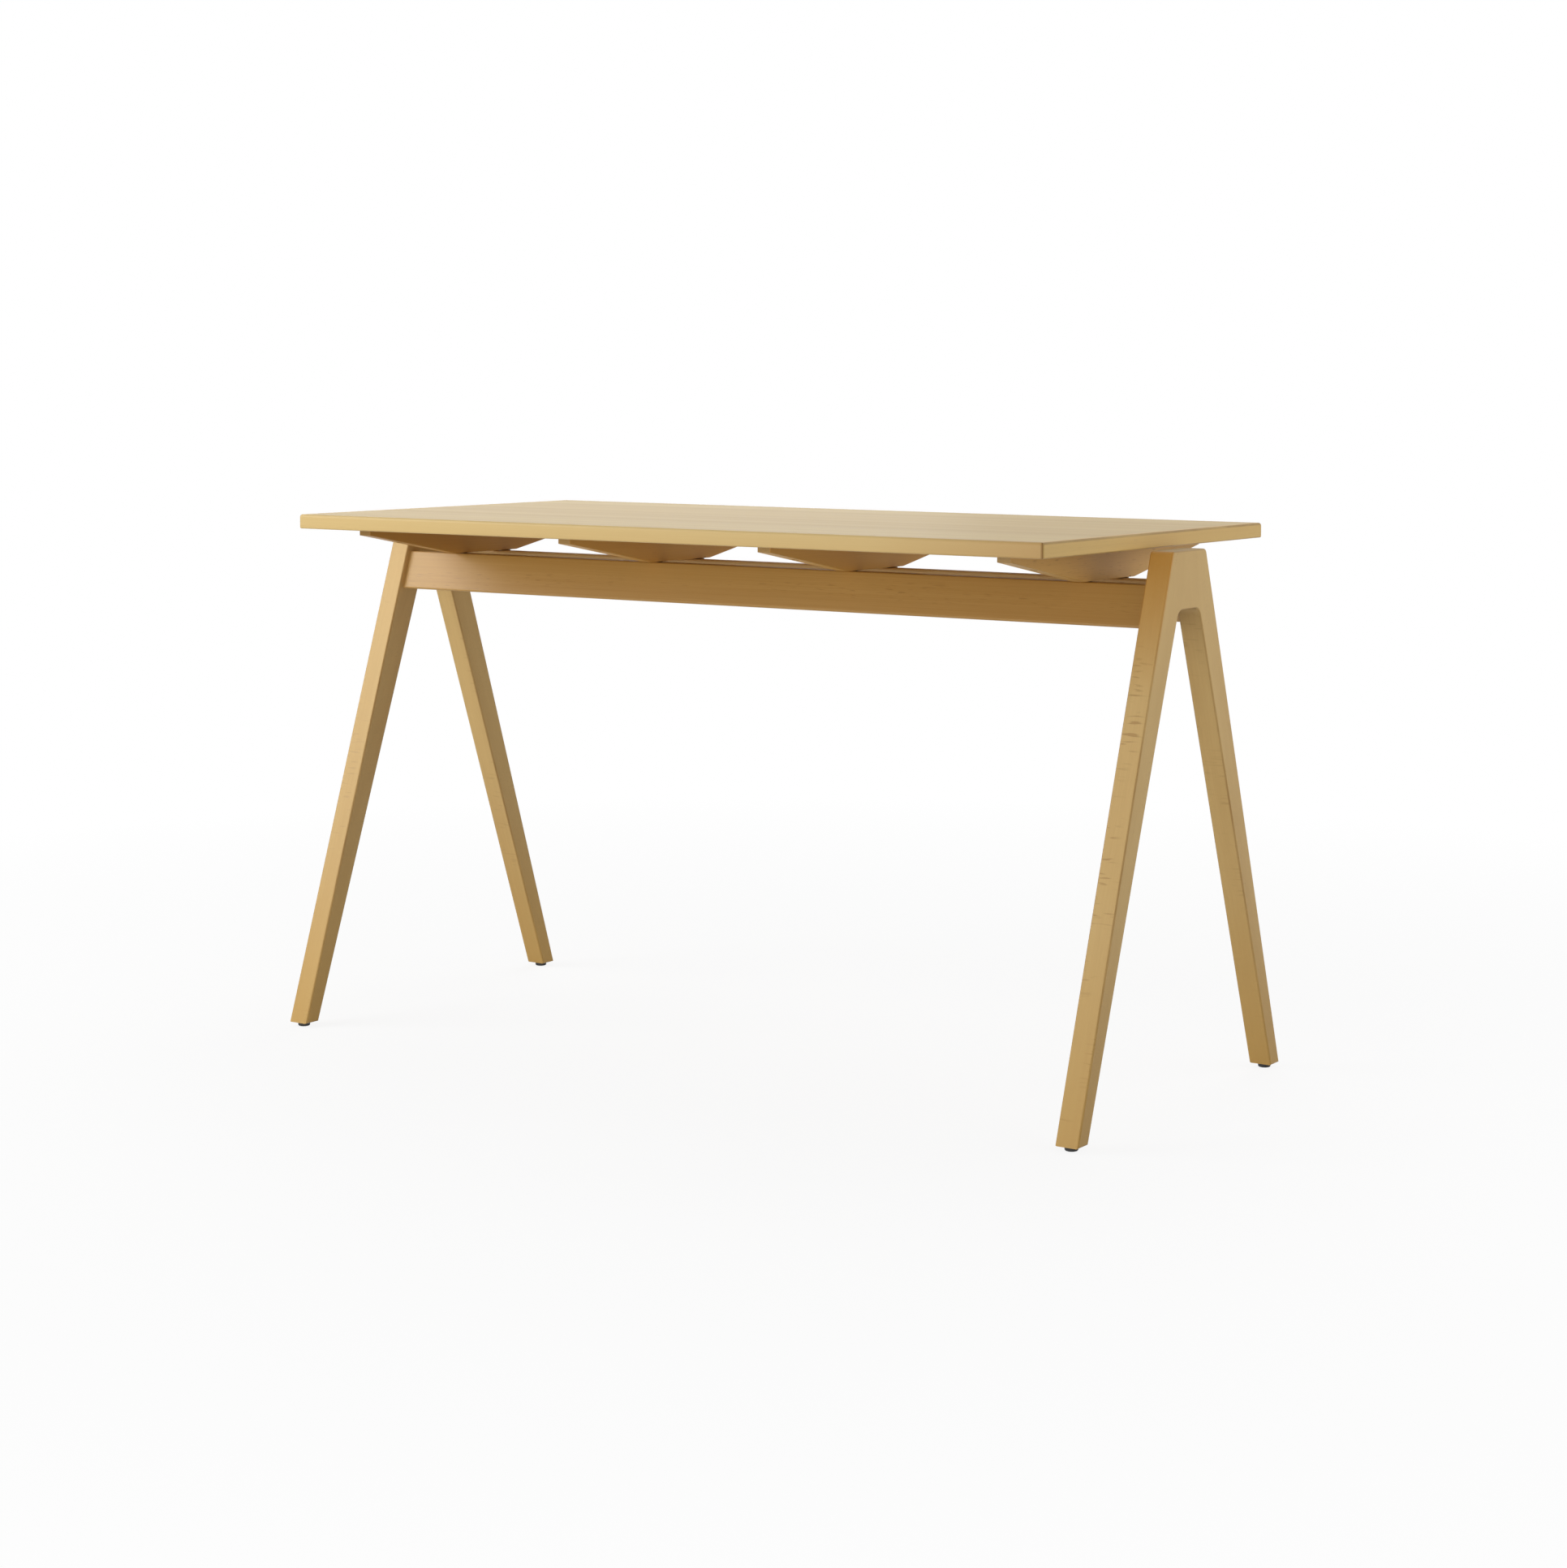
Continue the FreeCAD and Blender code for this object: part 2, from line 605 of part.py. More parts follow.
def top_layer(name, thickness, z):
    """Make one flat layer of the top inside the lipping."""
    return box(name, "Places.core_length", "Places.core_depth", thickness, *CORE_OUTLINE[0], z)


core = top_layer("core_blank", "Places.core_thickness", "Places.underside + Sizes.sheet_thickness")
backing = top_layer("backing_blank", "Sizes.sheet_thickness", "Places.underside")
surface = top_layer("surface", "Sizes.sheet_thickness", "Sizes.table_height - Sizes.sheet_thickness")
node(cut("core_cut", core, bearer_screw_holes), "top_core")
node(cut("backing_cut", backing, bearer_screw_holes), "top_backing")
node(surface, "top_surface")

rounded_top = outline_body("rounded_top", "XY_Plane", TOP_OUTLINE, "Sizes.top_thickness")
round_edges(rounded_top, "Sizes.top_corner_radius", lambda e: runs_along(e, "z"))
round_edges(rounded_top, "Sizes.top_edge_radius", lambda e: lies_at(e, "z", "Sizes.top_thickness"))
round_edges(rounded_top, "Sizes.under_edge_radius", lambda e: lies_at(e, "z", "0"))

for index, label in enumerate(("lipping_front", "lipping_right", "lipping_rear", "lipping_left")):
    after = (index + 1) % 4
    strip = [TOP_OUTLINE[index], TOP_OUTLINE[after], CORE_OUTLINE[after], CORE_OUTLINE[index]]
    blank = outline_body(f"{label}_blank", "XY_Plane", strip, "Sizes.top_thickness")
    shaped = doc.addObject("Part::Common", f"{label}_shape")
    shaped.Base = rounded_top
    shaped.Tool = blank
    place(shaped, z="Places.underside")
    node(shaped, label)

# Checks, then the files

doc.recompute()
for obj in doc.Objects:
    if {"Invalid", "Error"} & set(obj.State):
        raise RuntimeError(f"{obj.Name} failed: {obj.State}")
for piece in nodes:
    if piece.Shape.isNull() or not piece.Shape.isValid():
        raise RuntimeError(f"{piece.Label} has no valid shape")

os.makedirs("parts", exist_ok=True)
for piece in nodes:
    piece.Shape.exportStep(f"parts/{piece.Label}.step")

fold = math.degrees(math.atan2(number("Sizes.bearer_depth - Sizes.bearer_end_depth"),
                               number("(Sizes.bearer_length - Sizes.bearer_flat) / 2")))
fold += 90 - math.degrees(math.atan(number("Places.leg_lean")))
print(f"{len(nodes)} pieces")
print(f"hinge axis along X at y {number('Places.hinge_y'):.3f}, z {number('Places.hinge_z'):.3f}")
print(f"bearer slopes lie along the rear rail at {fold:.2f} degrees")
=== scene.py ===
# %% [markdown]
# This file dresses a beech trestle table: a thin top on four tapered cross bearers, which tilts up
# between two A-frames. The solids come ready made and in place. What is left for this lesson is the
# wood, the metal, the small turned parts, the light and the camera. Lengths are in metres.

# %% Load the solids
import math

import bmesh
import bpy
from mathutils import Matrix, Vector


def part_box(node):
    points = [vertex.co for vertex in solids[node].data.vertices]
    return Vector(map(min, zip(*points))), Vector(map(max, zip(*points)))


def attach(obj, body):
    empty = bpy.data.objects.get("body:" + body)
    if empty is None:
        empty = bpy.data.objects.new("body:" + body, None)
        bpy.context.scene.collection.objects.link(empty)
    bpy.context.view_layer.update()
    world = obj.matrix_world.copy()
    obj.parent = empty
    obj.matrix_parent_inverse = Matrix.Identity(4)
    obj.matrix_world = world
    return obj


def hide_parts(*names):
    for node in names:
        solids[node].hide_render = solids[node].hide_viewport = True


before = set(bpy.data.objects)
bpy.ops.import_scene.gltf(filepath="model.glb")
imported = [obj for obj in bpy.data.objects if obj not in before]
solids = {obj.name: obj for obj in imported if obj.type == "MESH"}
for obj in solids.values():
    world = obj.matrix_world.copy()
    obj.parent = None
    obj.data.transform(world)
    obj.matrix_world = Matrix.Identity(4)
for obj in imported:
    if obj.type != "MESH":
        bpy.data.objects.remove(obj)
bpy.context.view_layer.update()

# %% [markdown]
# The camera stands in front and to the right, a little above the top, and looks slightly down. Its place
# was found by laying the edges of the solids over the photograph until they met. The picture is part of a
# larger view, so the lens is shifted by the share of the frame that was trimmed away.

# %% Camera
# Sensor and lens are in millimetres, and angles in degrees
SENSOR = 36
LENS = 69.74
TRIMMED = (-0.0388, -0.1517)
STAND = (2.3823, -3.4421, 0.9366)
TURN_LEFT = 33.31
LOOK_DOWN = 3.278
LEAN = 0.174

camera_data = bpy.data.cameras.new("photo_camera")
camera_data.sensor_width = SENSOR
camera_data.lens = LENS
camera_data.shift_x, camera_data.shift_y = TRIMMED
camera = bpy.data.objects.new("photo_camera", camera_data)
bpy.context.scene.collection.objects.link(camera)
bpy.context.scene.camera = camera


def turned(degrees, axis):
    """Return the matrix of a turn about an axis."""
    return Matrix.Rotation(math.radians(degrees), 4, axis)


aim = turned(TURN_LEFT, "Z") @ turned(90 - LOOK_DOWN, "X") @ turned(LEAN, "Z")
camera.matrix_world = Matrix.Translation(STAND) @ aim
print(f"camera {camera.location.length:.2f} m from the origin, lens {LENS} mm")

# %% [markdown]
# A material or a studio is a net of nodes. These helpers keep the nets short to read: one adds a node and
# feeds its inputs, and the others wrap the few nodes that come up again and again.


# %% Helpers for nodes
def colour(code):
    """Turn a screen colour such as c9a066 into the linear values that nodes use."""
    parts = [int(code[i:i + 2], 16) / 255 for i in (0, 2, 4)]
    linear = [p / 12.92 if p <= 0.04045 else ((p + 0.055) / 1.055) ** 2.4 for p in parts]
    return (*linear, 1)


def feed(tree, node, inputs):
    """Set or link a node's inputs by name or number."""
    for name, value in inputs.items():
        if isinstance(value, bpy.types.NodeSocket):
            tree.links.new(value, node.inputs[name])
        else:
            node.inputs[name].default_value = value


def add(tree, kind, inputs=None, **settings):
    """Add a node, give it plain settings, then feed its inputs."""
    made = tree.nodes.new(kind)
    for name, value in settings.items():
        setattr(made, name, value)
    feed(tree, made, inputs or {})
    return made


def work_out(tree, operation, *values):
    """Add a Math node and return its result."""
    return add(tree, "ShaderNodeMath", dict(enumerate(values)), operation=operation).outputs[0]


def stretch(tree, vector, scale):
    """Multiply a vector by a fixed scale for each axis."""
    return add(tree, "ShaderNodeVectorMath", {0: vector, 1: scale}, operation="MULTIPLY").outputs[0]


def noise(tree, vector, scale, detail=2.0, roughness=0.5):
    """Return smooth noise from 0 to 1, with a number of cells to the metre for each axis."""
    made = add(tree, "ShaderNodeTexNoise", {
        "Vector": stretch(tree, vector, scale), "Scale": 1.0, "Detail": detail, "Roughness": roughness})
    return made.outputs[0]


def between(tree, value, low, high, start=0.0, end=1.0):
    """Return start below low, end above high, and a straight ramp in between."""
    made = add(tree, "ShaderNodeMapRange", {
        "Value": value, "From Min": low, "From Max": high, "To Min": start, "To Max": end})
    return made.outputs[0]


def mix(tree, share, first, second):
    """Mix two colours by a share from 0 to 1."""
    return add(tree, "ShaderNodeMix", {0: share, 6: first, 7: second}, data_type="RGBA").outputs[2]


# Most values of a noise lie in this range
NOISE_RANGE = (0.3, 0.7)

# %% [markdown]
# The photograph has a white background, yet white light from all round would flatten the table. So the
# world shows white to the camera and in reflections, while the light that it gives the table stays low.

# %% World
scene = bpy.context.scene
scene.view_settings.view_transform = "Standard"


def seen_directly(tree):
    """Return 1 for rays from the camera and for reflected or refracted ones, and 0 for all others."""
    path = add(tree, "ShaderNodeLightPath").outputs
    seen = work_out(tree, "MAXIMUM", path["Is Camera Ray"], path["Is Glossy Ray"])
    return work_out(tree, "MAXIMUM", seen, path["Is Transmission Ray"])


WHITE = (1, 1, 1, 1)
AMBIENT = (0.06, 0.06, 0.06, 1)

world = bpy.data.worlds.new("white_studio")
world.use_nodes = True
scene.world = world
net = world.node_tree
net.nodes.clear()
ambient = add(net, "ShaderNodeBackground", {"Color": AMBIENT, "Strength": 1.0})
backdrop = add(net, "ShaderNodeBackground", {"Color": WHITE, "Strength": 1.0})
seen = seen_directly(net)
shown = add(net, "ShaderNodeMixShader", {0: seen, 1: ambient.outputs[0], 2: backdrop.outputs[0]})
add(net, "ShaderNodeOutputWorld", {"Surface": shown.outputs[0]})
print(f"world: {len(net.nodes)} nodes")

# %% [markdown]
# The floor follows the same rule: it shows white, with only a hint of the table's shadow near the feet,
# and gives back less light than it shows. It is open from below, so that the table can be looked at from
# underneath as well.

# %% Floor
FLOOR_GIVES = (0.6, 0.6, 0.6, 1)
FLOOR_SHOWS = (0.95, 0.95, 0.95, 1)
SHADOW_REACH = 0.7
WHITE_FROM = 2.5
GLOW_NEAR = 0.88
FLOOR_HALF = 12

floor_paint = bpy.data.materials.new("floor_paint")
floor_paint.use_nodes = True
net = floor_paint.node_tree
net.nodes.clear()
seen = seen_directly(net)
paint = mix(net, seen, FLOOR_GIVES, FLOOR_SHOWS)
matt = add(net, "ShaderNodeBsdfDiffuse", {"Color": paint})
glow = add(net, "ShaderNodeEmission", {"Color": WHITE, "Strength": 1.0})
here = add(net, "ShaderNodeTexCoord").outputs["Object"]
away = add(net, "ShaderNodeVectorMath", {0: here}, operation="LENGTH").outputs["Value"]
whiter = between(net, away, SHADOW_REACH, WHITE_FROM, GLOW_NEAR, 1.0)
share = work_out(net, "MULTIPLY", seen, whiter)
above = add(net, "ShaderNodeMixShader", {0: share, 1: matt.outputs[0], 2: glow.outputs[0]})
below = add(net, "ShaderNodeNewGeometry").outputs["Backfacing"]
clear = add(net, "ShaderNodeBsdfTransparent")
shown = add(net, "ShaderNodeMixShader", {0: below, 1: above.outputs[0], 2: clear.outputs[0]})
add(net, "ShaderNodeOutputMaterial", {"Surface": shown.outputs[0]})

floor_mesh = bpy.data.meshes.new("floor")
corners = [(FLOOR_HALF * x, FLOOR_HALF * y, 0) for x, y in ((-1, -1), (1, -1), (1, 1), (-1, 1))]
floor_mesh.from_pydata(corners, [], [(0, 1, 2, 3)])
floor_mesh.materials.append(floor_paint)
floor = bpy.data.objects.new("floor", floor_mesh)
scene.collection.objects.link(floor)
print(f"floor {2 * FLOOR_HALF} m wide")

# %% [markdown]
# One large soft box hangs at the left and in front. It throws the soft shadow of the first bearer across
# the end of the front rail. A wider box farther off fills from the front, and a weak one from the right.
# The right one is so wide that it lights the inside of the rear leg as well as the rear half of the last
# bearer, past the head of the A-frame. The overhead and the rear box light the top and the back for other
# views. These three are kept out of reflections, where they would wash out the wood. Only a panel far off
# at the rear left shows in the top, as the pale sheen on its left half.


# %% Soft boxes
TABLE_MIDDLE = Vector((0, 0, 0.5))


def soft_box(name, place, width, height, power, reflected=True):
    """Hang a rectangular soft light at a place, turned towards the table. It may show in reflections."""
    lamp = bpy.data.lights.new(name, "AREA")
    lamp.shape = "RECTANGLE"
    lamp.size = width
    lamp.size_y = height
    lamp.energy = power
    hung = bpy.data.objects.new(name, lamp)
    hung.location = place
    hung.rotation_euler = (TABLE_MIDDLE - Vector(place)).to_track_quat("-Z", "Y").to_euler()
    hung.visible_camera = False
    hung.visible_glossy = reflected
    scene.collection.objects.link(hung)


soft_box("key_left", (-2.3, -1.77, 1.83), 2.0, 1.8, 52)
soft_box("fill_front", (0.1, -4.0, 0.65), 5.0, 1.3, 75)
soft_box("fill_right", (1.6, 0.35, 0.95), 2.2, 1.2, 10.4, reflected=False)
soft_box("overhead", (-0.4, 0.9, 2.9), 2.5, 2.0, 20, reflected=False)
soft_box("fill_rear", (-0.8, 3.8, 1.8), 3.0, 1.8, 35, reflected=False)
soft_box("sheen_rear_left", (-4.2, 4.6, 1.0), 3.0, 1.6, 25)

# %% [markdown]
# Beech is a pale, even wood with a slow drift of tone. Three things tell it from a plain colour: soft
# bands from the yearly growth, fine fibres along the grain, and rays. A ray is a ribbon that runs from the
# heart to the bark. Cut along its side, it shows as a short dark tick across the grain, and cut across, as
# a dash along it. One solid pattern gives both, because the ribbon is long along the radius, short along
# the grain and very thin. Rays come in crowds, so another noise says where they show. The pattern reads a
# position whose X runs along the grain, Y along the radius and Z across both.


# %% Beech figure
def shader_group(name, inputs, outputs):
    """Start a shader node group and return it with its own inputs and outputs."""
    tree = bpy.data.node_groups.new(name, "ShaderNodeTree")
    for label, kind in inputs:
        tree.interface.new_socket(label, in_out="INPUT", socket_type=f"NodeSocket{kind}")
    for label, kind in outputs:
        tree.interface.new_socket(label, in_out="OUTPUT", socket_type=f"NodeSocket{kind}")
    return tree, tree.nodes.new("NodeGroupInput").outputs, tree.nodes.new("NodeGroupOutput").inputs


# Cells to the metre along the grain, along the radius and across both
WANDER_CELLS = (1.5, 9, 9)
CLOUD_CELLS = (1.7, 11, 11)
BAND_CELLS = (1.2, 210, 20)
FIBRE_CELLS = (28, 900, 900)
RIBBON_CELLS = (360, 42, 700)
CROWD_CELLS = (7, 22, 22)
RAY_RANGE = (0.65, 0.77)
CROWD_RANGE = (0.47, 0.63)
SWAY = 0.03

tree, given, result = shader_group(
    "beech_figure",
    [("Position", "Vector"), ("Pale", "Color"), ("Deep", "Color"), ("Ray", "Color"),
     ("Bands", "Float"), ("Fibres", "Float"), ("Rays", "Float")],
    [("Colour", "Color"), ("Surface", "Float")])
wander = noise(tree, given["Position"], WANDER_CELLS, 1)
sway = add(tree, "ShaderNodeCombineXYZ", {1: work_out(tree, "MULTIPLY", wander, SWAY)}).outputs[0]
bent = add(tree, "ShaderNodeVectorMath", {0: given["Position"], 1: sway}, operation="ADD").outputs[0]
cloud = noise(tree, given["Position"], CLOUD_CELLS, 3)
bands = noise(tree, bent, BAND_CELLS, 3, 0.6)
fibres = noise(tree, bent, FIBRE_CELLS, 2)
ribbons = noise(tree, bent, RIBBON_CELLS, 0)
crowd = between(tree, noise(tree, given["Position"], CROWD_CELLS, 1), *CROWD_RANGE)
ray_mask = work_out(tree, "MULTIPLY", between(tree, ribbons, *RAY_RANGE), crowd)

tone = between(tree, cloud, *NOISE_RANGE)
for texture, strength in ((bands, given["Bands"]), (fibres, given["Fibres"])):
    swing = work_out(tree, "MULTIPLY", work_out(tree, "SUBTRACT", texture, 0.5), strength)
    tone = work_out(tree, "ADD", tone, swing)
tone = between(tree, tone, 0, 1)
wood = mix(tree, tone, given["Deep"], given["Pale"])
ray_share = work_out(tree, "MULTIPLY", ray_mask, given["Rays"])
tree.links.new(mix(tree, ray_share, wood, given["Ray"]), result["Colour"])
tree.links.new(work_out(tree, "SUBTRACT", fibres, ray_mask), result["Surface"])
figure = tree
print(f"beech figure: {len(tree.nodes)} nodes")

# %% [markdown]
# Two tones follow the shape of a piece and not its grain. The rounded arrises beside X faces darken in a
# broken line: partly lacquer gathered there, and partly painted shade where these edges turn away from the
# light. End grain drinks more lacquer and turns duller. Both can be told from the way the surface faces:
# on an arris beside an X face the normal's X is neither 0 nor 1, and on end grain the normal runs along
# the grain. One group gives both, and every piece of beech uses it.

# %% Edge tones
DASH_CELLS = (30, 13, 13)
PORE_CELLS = (700, 700, 700)
ROUNDED_RANGE = (0.02, 0.14)
CUT_END_RANGE = (0.85, 0.95)

tree, given, result = shader_group(
    "edge_tones",
    [("Colour", "Color"), ("Arris", "Color"), ("Arris Strength", "Float"), ("End Grain", "Color"),
     ("End Direction", "Vector"), ("End Strength", "Float")],
    [("Colour", "Color")])
surface = add(tree, "ShaderNodeTexCoord").outputs
facing = add(tree, "ShaderNodeSeparateXYZ", {0: surface["Normal"]}).outputs["X"]
sideways = work_out(tree, "MULTIPLY", facing, facing)
rounded = work_out(tree, "MULTIPLY", sideways, work_out(tree, "SUBTRACT", 1.0, sideways))
broken = between(tree, noise(tree, surface["Object"], DASH_CELLS, 3), *NOISE_RANGE, 0.4, 1.0)
# The darker arris: partly gathered lacquer, partly painted shade where the edge turns from the light
arris_shade = work_out(tree, "MULTIPLY", between(tree, rounded, *ROUNDED_RANGE), broken)
arris_shade = work_out(tree, "MULTIPLY", arris_shade, given["Arris Strength"])
both = {0: surface["Normal"], 1: given["End Direction"]}
along = add(tree, "ShaderNodeVectorMath", both, operation="DOT_PRODUCT").outputs["Value"]
cut_end = between(tree, work_out(tree, "ABSOLUTE", along), *CUT_END_RANGE)
pores = between(tree, noise(tree, surface["Object"], PORE_CELLS, 2), *NOISE_RANGE, 0.7, 1.0)
end_share = work_out(tree, "MULTIPLY", work_out(tree, "MULTIPLY", cut_end, pores), given["End Strength"])
dull = mix(tree, end_share, given["Colour"], given["End Grain"])
tree.links.new(mix(tree, arris_shade, dull, given["Arris"]), result["Colour"])
edge_tones = tree
print(f"edge tones: {len(tree.nodes)} nodes")

# %% [markdown]
# Each piece is sawn with the grain along its length, so the pattern has to be turned for each kind of
# piece. Rails and long lippings run along X, bearers and end lippings along Y. On these the rays are
# drawn out to dashes. A sheet that was cut across the radius shows the same dashes end on.


# %% Grain of straight pieces
DASH = (0.15, 1, 1)


def grain(tree, order):
    """Return the position in the solid with its axes in a given order, such as YXZ."""
    here = add(tree, "ShaderNodeTexCoord").outputs["Object"]
    parts = add(tree, "ShaderNodeSeparateXYZ", {0: here}).outputs
    return add(tree, "ShaderNodeCombineXYZ", {i: parts[axis] for i, axis in enumerate(order)}).outputs[0]


def along_x(tree):
    """Return the grain's position for a piece whose length runs along X."""
    return stretch(tree, grain(tree, "XYZ"), DASH)


def along_y(tree):
    """Return the same for a piece whose length runs along Y."""
    return stretch(tree, grain(tree, "YXZ"), DASH)


def flat_sawn(tree):
    """Return the same for a sheet along X that was cut across the radius."""
    return stretch(tree, grain(tree, "XZY"), DASH)


# %% [markdown]
# A leg's grain follows the leg: below the arch it slants outwards with the leg, and in the head it is
# upright, so the two halves of a head meet without a visible seam. The right front leg has two marks of
# its own in the photograph: a crowd of rays on its upper half, and a darker, warmer tone at the front of
# its head, which is painted shade where the top keeps the light off, warmed by light bounced off the wood.


# %% Grain of legs
LEG_SLANT = 0.345
SLANT_STARTS = 0.66
SLANT_BLEND = 0.06
FLECK_MOVE = (-0.43, 0, 0.004)
HEAD_TOP = 0.7135
HEAD_FRONT = 0.0465
FRONT_SLOPE = 0.3314
# Painted shade on the head's front face under the top: where it is full, where it is gone, how far down it
# reaches and its share
HEAD_SHADE_FULL = 0.001
HEAD_SHADE_GONE = 0.006
HEAD_SHADE_LENGTH = 0.18
HEAD_SHADE_SHARE = 0.72


def leg_grain(tree):
    """Return a position that follows the legs: along Z, with the radius across the leg's front face."""
    here = add(tree, "ShaderNodeTexCoord").outputs["Object"]
    parts = add(tree, "ShaderNodeSeparateXYZ", {0: here}).outputs
    below = work_out(tree, "SUBTRACT", SLANT_STARTS, parts["Z"])
    drop = work_out(tree, "SMOOTH_MAX", below, 0.0, SLANT_BLEND)
    outwards = work_out(tree, "MULTIPLY", work_out(tree, "SIGN", parts["Y"]), LEG_SLANT)
    shift = work_out(tree, "MULTIPLY", drop, outwards)
    straight = work_out(tree, "SUBTRACT", parts["Y"], shift)
    return add(tree, "ShaderNodeCombineXYZ", {0: parts["Z"], 1: parts["X"], 2: straight}).outputs[0]


def flecked_grain(tree):
    """Return the leg's position moved in the plank, so that a crowd of rays lies on its upper half."""
    moved = {0: leg_grain(tree), 1: FLECK_MOVE}
    return add(tree, "ShaderNodeVectorMath", moved, operation="ADD").outputs[0]


def head_top_shade(tree):
    """Return the share of the painted shade on the front face of a front leg's head, which fades downwards
    from the top.
    """
    here = add(tree, "ShaderNodeTexCoord").outputs["Object"]
    parts = add(tree, "ShaderNodeSeparateXYZ", {0: here}).outputs
    drop = work_out(tree, "SUBTRACT", HEAD_TOP, parts["Z"])
    face = work_out(tree, "MULTIPLY_ADD", drop, FRONT_SLOPE, HEAD_FRONT)
    depth = work_out(tree, "ADD", parts["Y"], face)
    near_front = between(tree, depth, HEAD_SHADE_FULL, HEAD_SHADE_GONE, 1.0, 0.0)
    fading = between(tree, drop, 0.0, HEAD_SHADE_LENGTH, HEAD_SHADE_SHARE, 0.0)
    return work_out(tree, "MULTIPLY", near_front, fading)


# %% [markdown]
# The finish is a clear satin lacquer over the beech. The lacquer has sunk into the wood, so a plain
# Principled shader with a middling roughness gives the sheen, and a very shallow bump from the fibres
# breaks it up. A piece can also run into another tone along an axis, as a plank does from heart to bark;
# the same mix also paints shade near the floor and a sheen at a lit end.


# %% Lacquered beech
END_GRAIN = "8a7142"
END_STRENGTH = 0.8
NO_ENDS = (0, 0, 0)
GLOSS_SWING = 0.06
# A relief is a bump's strength and depth
FIBRE_RELIEF = (0.12, 0.0002)


def new_material(name):
    """Make an empty node material with a Principled shader."""
    material = bpy.data.materials.new(name)
    material.use_nodes = True
    net = material.node_tree
    net.nodes.clear()
    shader = add(net, "ShaderNodeBsdfPrincipled")
    add(net, "ShaderNodeOutputMaterial", {"Surface": shader.outputs[0]})
    return material, net, shader


def relief(net, shader, height, strength, distance):
    """Give a shader a bump from a height."""
    bump = add(net, "ShaderNodeBump", {"Strength": strength, "Distance": distance, "Height": height})
    net.links.new(bump.outputs[0], shader.inputs["Normal"])


def beech(name, position, pale, deep, ray, bands=0.5, fibres=0.5, rays=0.6, gloss=0.42, sheen=0.3,
          arris_shade=0.3, ends=NO_ENDS):
    """Make lacquered beech. Position is a function that returns the grain's position in a net. The arris
    shade sets how dark the arrises beside X faces turn, partly as painted shade.
    """
    material, net, shader = new_material(name)
    wood = add(net, "ShaderNodeGroup", node_tree=figure)
    feed(net, wood, {
        "Position": position(net), "Pale": colour(pale), "Deep": colour(deep), "Ray": colour(ray),
        "Bands": bands, "Fibres": fibres, "Rays": rays})
    toned = add(net, "ShaderNodeGroup", node_tree=edge_tones)
    feed(net, toned, {
        "Colour": wood.outputs["Colour"], "Arris": colour(ray), "Arris Strength": arris_shade,
        "End Grain": colour(END_GRAIN), "End Direction": ends, "End Strength": END_STRENGTH})
    net.links.new(toned.outputs["Colour"], shader.inputs["Base Color"])
    satin = between(net, wood.outputs["Surface"], -0.5, 1, gloss - GLOSS_SWING, gloss + GLOSS_SWING)
    net.links.new(satin, shader.inputs["Roughness"])
    shader.inputs["Specular IOR Level"].default_value = sheen
    relief(net, shader, wood.outputs["Surface"], *FIBRE_RELIEF)
    return material, net, shader, toned


def shade_along(axis, net, wood, start, end, share, tone):
    """Let a wood's colour run into another tone along an axis, up to a share of it."""
    here = add(net, "ShaderNodeTexCoord").outputs["Object"]
    place = add(net, "ShaderNodeSeparateXYZ", {0: here}).outputs[axis]
    return mix(net, between(net, place, start, end, 0.0, share), wood, colour(tone))


def dress(starts, material):
    """Give a material to every solid whose name starts with one of some words."""
    chosen = [o for name, o in solids.items() if name.startswith(starts)]
    for piece in chosen:
        for slot in piece.material_slots:
            slot.material = material
    print(f"{material.name}: {len(chosen)} solids")


# %% [markdown]
# The legs share one wood, which grows darker and warmer over the last quarter of a metre above the floor:
# painted shade, where less light reaches. The right front leg alone takes the grain with the crowd of
# rays, and a painted shade on the front of its head, where the top keeps the light off.

# %% Legs
UPRIGHT = (0, 0, 1)
LEG_TONES = ("d4b375", "c49f63", "8f6430")
# The tone of the painted shade on the head's front, warmed by light bounced off the wood
HEAD_SHADE_TONE = "c7851a"
# A shade is where it starts, where it is full, its largest share and its tone
# Painted shade: less light reaches the legs near the floor, so they turn darker and warmer there
FOOT_PAINTED_SHADE = (0.26, 0.0, 0.75, "c1984f")


def leg_beech(name, position, rays):
    """Make the beech of a leg, with painted shade that grows darker and warmer towards the foot."""
    material, net, shader, toned = beech(
        name, position, *LEG_TONES, rays=rays, arris_shade=0.6, ends=UPRIGHT)
    foot_shaded = shade_along("Z", net, toned.outputs["Colour"], *FOOT_PAINTED_SHADE)
    net.links.new(foot_shaded, shader.inputs["Base Color"])
    return material, net, shader, foot_shaded


leg_wood = leg_beech("beech_leg", leg_grain, 0.2)[0]
dress(("leg_front_left", "leg_rear"), leg_wood)
flecked_wood, net, shader, foot_shaded = leg_beech("beech_leg_flecked", flecked_grain, 0.45)
head_shaded = mix(net, head_top_shade(net), foot_shaded, colour(HEAD_SHADE_TONE))
net.links.new(head_shaded, shader.inputs["Base Color"])
dress(("leg_front_right",), flecked_wood)

# %% [markdown]
# Each bearer has its own pale and deep tone, and so has the front rail. The rear rail's paler tones are
# painted light: they stand in for the light from behind that reaches its inner face under the top. Both
# rails are paler at the left end, as a painted sheen where the key light falls, and deeper towards the
# right, where the plank nears the heart.

# %% Rails and bearers
# The rear rail's paler tones are painted light on its inner face, which sits under the top
RAIL_TONES = {"rail_front": ("ba904a", "a87c38"), "rail_rear": ("e6c488", "d6b072")}
RAIL_RAY = "7d5020"
